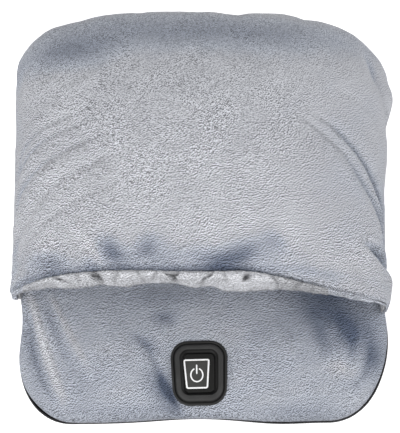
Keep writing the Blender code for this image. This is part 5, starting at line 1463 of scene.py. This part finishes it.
class WARMER_OT_cuff(bpy.types.Operator):
    """Make the turned-out cuff: a gathered roll along the mouth and its loose strands"""

    bl_idname = "warmer.cuff"
    bl_label = "Cuff"

    def execute(self, context):
        look = looks()
        count, around = CUFF_NET
        s = np.linspace(-1, 1, 4001)
        arch = hood_surface(s, np.full(len(s), -1.0))
        inside = arch[:, 2] > HOOD_FOOT + 0.0012
        s = even_steps(arch[inside], s[inside], count)
        arch = hood_surface(s, np.full(count, -1.0))
        slope = np.gradient(arch, axis=0)
        outward = np.column_stack([-slope[:, 2], np.zeros(count), slope[:, 0]])
        outward /= np.linalg.norm(outward, axis=1, keepdims=True)
        place = arch[:, 0]
        length = np.cumsum(np.linalg.norm(np.diff(arch, axis=0, prepend=arch[:1]), axis=1))
        to_end = np.minimum(length, length[-1] - length)
        depth = soft_interp(place, CUFF_PLACES, CUFF_DEPTHS) * (0.15 + 0.85 * eased(to_end / 0.014))
        pinch = np.zeros(count)
        for middle, width, strength in GATHERS:
            pinch += strength * np.exp(-((place - middle) / width) ** 2)
        end = eased(to_end / 0.006)
        ends = eased((np.abs(place) - 0.112) / 0.022)
        proud = (look.cuff_proud - 0.0010 * (1 - depth / 0.014)) * (1 - 0.75 * pinch) * (1 - ends)
        proud -= 0.0018 * ends
        turn = np.linspace(0, 2 * math.pi, around, endpoint=False)
        cosine, sine = np.cos(turn)[None, :], np.sin(turn)[None, :]
        # Section: a superellipse, nearly square against the mouth's edge and round in front.
        square = np.where(sine < 0, 0.42, 0.96)
        wall = HOOD_WALL * (1 - soft_interp(place, PINCH_PLACES, PINCHES))
        half_wall = (wall / 2 + proud)[:, None]
        half_wall = half_wall * (0.35 + 0.65 * end[:, None])
        out = half_wall * np.sign(cosine) * np.abs(cosine) ** square
        forward = depth[:, None] / 2 * (1 + np.sign(sine) * np.abs(sine) ** square)
        # Where the cuff is gathered, the lobes between are fuller low in front and pinched above.
        forward = forward * (1 - 0.16 * pinch[:, None] * np.clip(cosine, 0, 1))
        middle = arch - outward * (wall / 2)[:, None]
        points = middle[:, None, :] + outward[:, None, :] * out[..., None]
        points[..., 1] -= forward + 0.0002
        around_slope = np.roll(points, -1, axis=1) - np.roll(points, 1, axis=1)
        normal = np.cross(around_slope, np.gradient(points, axis=0))
        normal /= np.maximum(np.linalg.norm(normal, axis=-1, keepdims=True), 1e-9)
        if (normal[count // 2, 0] @ outward[count // 2]) < 0:
            normal = -normal
        free = eased((forward - 0.0006) / 0.002) * end[:, None]
        lumps = 0.00070 * ripple(points, 0.015, 61, 18) + 0.00020 * ripple(points, 0.0050, 62, 22)
        points = points + normal * (lumps * free)[..., None]
        dimple = cuff_dimples(place, forward) * eased(cosine / 0.5 + 1.0) * eased(forward / 0.0015)
        points = points - normal * dimple[..., None]
        flat = points.reshape(-1, 3)
        faces = grid_faces(count, around, ring=True)
        first = flat[faces[0]]
        across = np.cross(first[1] - first[0], first[2] - first[1])
        if across @ normal.reshape(-1, 3)[faces[0][0]] < 0:
            faces = faces[:, ::-1]
        faces = np.concatenate([faces, *tube_caps(count, around)])
        plain = eased((place - 0.040) / 0.040)[:, None]
        # Painted shade in the folds across the roll, and where the roll turns back against the hood's edge;
        # the right part of the roll is a dimmer tone.
        shade = 0.80 - 0.26 * plain + 0.04 * ripple(points, 0.010, 63) - 190 * dimple
        shade -= 0.40 * (1 - eased(forward / 0.0016))
        tucked = (eased((place - 0.086) / 0.012) + eased((-0.122 - place) / 0.010))[:, None]
        shade = shade * (1 - tucked) + 0.50 * tucked
        nap = np.broadcast_to(np.clip(tucked, 0, 1), shade.shape)
        roll = new_piece("cuff_roll", flat, faces, lining_finish(),
                         values={"brushed": np.clip(shade, 0, 1), "nap": nap})
        centre = flat[faces].mean(axis=1)
        ragged = 0.003 * ripple(centre, 0.006, 65)
        turned_in = (centre[:, 0] + ragged > 0.094) | (centre[:, 0] + ragged < -0.130)
        roll.data.materials.append(plush_finish())
        roll.data.polygons.foreach_set("material_index", turned_in.astype(np.int32))
        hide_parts("cuff")
        self.strands(points, normal, forward, dimple, end, cosine)
        return {"FINISHED"}

    def strands(self, points, normal, forward, dimple, end, cosine):
        """Loose strands over the roll: curved, tapering, three-sided, combed from the seam to the front."""
        rng = np.random.default_rng(64)
        count, around = points.shape[:2]
        weight = (forward > 0.0006) * end[:, None] * (0.25 + 0.75 * (cosine > -0.55))
        weight = weight * np.exp(-700 * dimple) * (np.abs(points[..., 0] + 0.018) < 0.112)
        chosen = rng.choice(count * around, size=STRANDS, p=(weight / weight.sum()).ravel())
        row, column = np.divmod(chosen, around)
        root = points[row, column] + rng.normal(scale=0.0004, size=(len(row), 3))
        out = normal[row, column]
        comb = points[row, (column + 1) % around] - points[row, column]
        comb = comb * np.where(comb[:, 1:2] > 0, -1, 1)
        comb /= np.maximum(np.linalg.norm(comb, axis=1, keepdims=True), 1e-9)
        side = np.cross(out, comb)
        comb = comb + side * rng.normal(scale=0.34, size=(len(row), 1))
        comb /= np.linalg.norm(comb, axis=1, keepdims=True)
        length = rng.uniform(0.0009, 0.0017, (len(row), 1))
        lift = rng.uniform(0.10, 0.30, (len(row), 1))
        radius = rng.uniform(0.00013, 0.00022, (len(row), 1))
        rings = []
        for share, size in STRAND_RINGS:
            middle = root + comb * length * share + out * length * lift * share * (1.25 - share)
            across = np.cross(out, comb)
            for turn in (0.0, 2 * math.pi / 3, 4 * math.pi / 3):
                rings.append(middle + radius * size * (across * math.cos(turn) + out * math.sin(turn)))
        strands = np.stack(rings, axis=1)
        faces = grid_faces(4, 3, ring=True)
        faces = (faces[None] + 12 * np.arange(len(row))[:, None, None]).reshape(-1, 4)
        tips = 12 * np.arange(len(row))[:, None] + np.array([[0, 9]])
        ends = np.concatenate([tips[:, :1] + [[2, 1, 0]], tips[:, 1:] + [[0, 1, 2]]])
        plain = 0.26 * eased((root[:, 0] - 0.040) / 0.040)
        # Each strand's tone is random and dimmer on the right, with painted shade in the cuff's folds.
        shade = np.repeat(rng.uniform(0.68, 0.98, len(row)) - plain - 90 * dimple[row, column], 12)
        new_piece("cuff_strands", strands.reshape(-1, 3), faces, lining_finish(),
                  values={"brushed": np.clip(shade, 0, 1)}, ends=ends)


class WARMER_OT_controller(bpy.types.Operator):
    """Make the controller's rubber frame, the button cap and the printed power sign"""

    bl_idname = "warmer.controller"
    bl_label = "Controller"

    def execute(self, context):
        bezel_low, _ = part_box("controller_bezel")
        cap_low, cap_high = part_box("power_button")
        self.bezel(bezel_low.z)
        self.cap(cap_low.z, cap_high.z)
        self.sign(cap_high.z - CAP_DIP)
        return {"FINISHED"}

    def bezel(self, bottom):
        """The rubber frame: its section carried round the controller's outline."""
        rubber = moulded_material("Soft black rubber", (0.028, 0.028, 0.028), (0.044, 0.044, 0.044), 0.58,
                                  0.0005, 0.00005, shaded=True, specular=0.28)
        rings = np.stack([tablet_ring(inset, max(height, bottom)) for inset, height in FRAME_SECTION])
        insets = [inset for inset, _ in FRAME_SECTION]
        # The slope is widest on the right and at the toe side.
        wide = np.interp(insets, (.0046, .0068, .0080, .0094), (0, 1, .8, 0))
        wide[-2:] = 0
        turned = rings[0] - rings[0].mean(axis=0)
        right = np.clip(turned[:, 0] / (TABLET_SIZE[0] / 2), -1, 1)
        rear = np.clip(turned[:, 1] / (TABLET_SIZE[1] / 2), -1, 1)
        rings[..., 0] += wide[:, None] * 0.0005 * right ** 3
        rings[..., 1] += wide[:, None] * np.where(rear > 0, 0.0005 * rear ** 3, -0.0003 * rear ** 3)
        faces = grid_faces(len(rings), rings.shape[1], ring=True)
        last = (len(rings) - 1) * rings.shape[1]
        index = np.arange(rings.shape[1])
        after = np.roll(index, -1)
        closing = np.column_stack([index + last, after + last, after, index])
        # Painted shade in the groove and on the recess's slope.
        dark = np.interp(insets, *zip(*FRAME_SHADES))
        bezel = new_piece("controller_frame", rings, np.concatenate([faces, closing]), rubber,
                          values={"shade": np.repeat(dark, rings.shape[1])})
        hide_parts("controller_bezel")

    def cap(self, cap_bottom, cap_top):
        """The button's cap: rings drawn in from the frame's slope to its middle."""
        cap_material = moulded_material("Button cap", (0.036, 0.036, 0.034), (0.060, 0.060, 0.057), 0.52,
                                        0.0005, 0.00008, shaded=True, specular=0.25)
        # The cap is flat under the outline and slopes up to the frame, most on its right.
        insets = np.concatenate([[0.0100, 0.0100, 0.0102], np.linspace(0.0105, 0.0176, 22)])
        rings = np.stack([tablet_ring(inset, cap_top) for inset in insets])
        rings[0, :, 2] = cap_bottom + 0.0018
        beyond = np.maximum(rings[1:, :, 0] - 0.0082, 0) / 0.006
        rings[1:, :, 2] = cap_top - CAP_DIP + CAP_DIP * eased(beyond)
        rings[1, :, 2] -= 0.0003
        count = rings.shape[1]
        centre = rings[-1].mean(axis=0)
        points = np.concatenate([rings.reshape(-1, 3), centre[None]])
        faces = grid_faces(len(insets), count, ring=True)
        inner = (len(insets) - 1) * count + np.arange(0, count, 2)
        middle = (len(insets) - 1) * count + np.arange(1, count, 2)
        fan = np.column_stack([inner, middle, np.roll(inner, -1), np.full(len(inner), len(points) - 1)])
        # Outside the printed outline the cap lies in the shade of the frame's slope.
        dark = 0.14 + 0.76 * inside_outline(points, 0.0004)
        cap = new_piece("power_button_cap", points, np.concatenate([faces, fan]), cap_material,
                        body="button", values={"shade": dark})
        thicken(cap, 0.0012)
        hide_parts("power_button")

    def sign(self, top):
        """The printed outline, ring and bar on the cap's flat middle."""
        mark = moulded_material("White print", (0.86, 0.86, 0.86), tuple(looks().mark_white), 0.45, 0.0008,
                                0.00001)
        outline = rounded_trapezoid(OUTLINE_MIDDLE, *OUTLINE_SIZE, OUTLINE_CORNER)
        print_line("power_outline", outline, OUTLINE_LINE, top, mark, closed=True)
        turn = np.linspace(*RING_ANGLES, 60)
        ring = np.array(RING_MIDDLE) + np.array(RING_RADII) * np.column_stack([np.cos(turn), np.sin(turn)])
        print_line("power_ring", ring, SIGN_LINE, top, mark)
        bar = np.column_stack([np.full(8, RING_MIDDLE[0]), np.linspace(*BAR_ENDS, 8)])
        print_line("power_bar", bar, SIGN_LINE, top, mark)


class WARMER_OT_finishes(bpy.types.Operator):
    """Give the pieces inside, and the inlet, their finishes"""

    bl_idname = "warmer.finishes"
    bl_label = "Inner parts"

    def execute(self, context):
        foam = fluffy_material("Grey foam", (0.26, 0.26, 0.27), (0.42, 0.42, 0.43), 0.0012, 0.0003)
        felt = fluffy_material("Cream felt", (0.52, 0.48, 0.40), (0.70, 0.66, 0.58), 0.0022, 0.0003)
        foil = metal_material("Crinkled foil", (0.70, 0.70, 0.72), (0.90, 0.90, 0.92), 0.25, 3.0)
        wire = moulded_material("Silicone sleeve", (0.36, 0.030, 0.018), (0.50, 0.055, 0.035), 0.42)
        lead = moulded_material("Lead sleeve", (0.012, 0.012, 0.012), (0.028, 0.028, 0.028), 0.5)
        case = moulded_material("Moulded case", (0.024, 0.024, 0.026), (0.046, 0.046, 0.050), 0.48, 0.0008)
        board = cloth_material("Circuit board", (0.018, 0.110, 0.040), (0.040, 0.200, 0.075), 0.0016, 0.4)
        chip = moulded_material("Chip", (0.010, 0.010, 0.012), (0.022, 0.022, 0.025), 0.38, 0.0003)
        led = moulded_material("Indicator light", (0.76, 0.76, 0.70), (0.90, 0.90, 0.86), 0.22, 0.0009,
                               0.00002)
        plug = moulded_material("Connector", (0.62, 0.58, 0.48), (0.76, 0.72, 0.62), 0.45)
        steel = metal_material("Plated steel", (0.50, 0.50, 0.52), (0.70, 0.70, 0.72), 0.34, 1.5)
        brass = metal_material("Brass", (0.60, 0.45, 0.20), (0.78, 0.62, 0.34), 0.30, 1.5)
        cap = moulded_material("Plunger", (0.014, 0.014, 0.014), (0.028, 0.028, 0.028), 0.4)
        frame_rubber = moulded_material("Inlet rubber", (0.016, 0.016, 0.017), (0.034, 0.034, 0.035), 0.55)
        finishes = {
            foam: ("sole_foam",), felt: ("heater_felt",), foil: ("reflective_foil",),
            wire: ("heating_wire",), lead: ("heater_lead", "return_lead", "sensor_lead", "power_lead"),
            case: ("controller_housing", "controller_back_cover", "switch_body", "inlet_socket"),
            board: ("circuit_board",), chip: ("controller_chip", "temperature_sensor"),
            led: ("indicator_led_1", "indicator_led_2"), plug: ("board_connector",),
            steel: ("housing_screw_1", "housing_screw_2", "housing_screw_3", "housing_screw_4",
                    "thermal_cutout"),
            brass: ("lead_splice", "inlet_pin"), cap: ("switch_plunger",), frame_rubber: ("inlet_surround",),
        }
        for material, names in finishes.items():
            for name in names:
                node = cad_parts[name]
                node.data.materials.clear()
                node.data.materials.append(material)
        return {"FINISHED"}


STEPS = (WARMER_OT_stage, WARMER_OT_base, WARMER_OT_pad, WARMER_OT_hood, WARMER_OT_cuff, WARMER_OT_controller,
         WARMER_OT_finishes)


class WARMER_PT_panel(bpy.types.Panel):
    """The foot warmer's settings and steps"""

    bl_idname = "WARMER_PT_panel"
    bl_label = "Foot warmer"
    bl_space_type = "VIEW_3D"
    bl_region_type = "UI"
    bl_category = "Foot warmer"

    def draw(self, context):
        for key in WarmerLooks.__annotations__:
            self.layout.prop(context.scene.warmer_looks, key)
        for step in STEPS:
            self.layout.operator(step.bl_idname)


def register():
    """Add the settings, the steps and the panel."""
    for kind in (WarmerLooks, *STEPS, WARMER_PT_panel):
        bpy.utils.register_class(kind)
    bpy.types.Scene.warmer_looks = PointerProperty(type=WarmerLooks)


def unregister():
    """Take them away again."""
    del bpy.types.Scene.warmer_looks
    for kind in reversed((WarmerLooks, *STEPS, WARMER_PT_panel)):
        bpy.utils.unregister_class(kind)


def main():
    """Run every step in order."""
    register()
    bpy.ops.warmer.stage()
    bpy.ops.warmer.base()
    bpy.ops.warmer.pad()
    bpy.ops.warmer.hood()
    bpy.ops.warmer.cuff()
    bpy.ops.warmer.controller()
    bpy.ops.warmer.finishes()


if __name__ == "__main__":
    main()
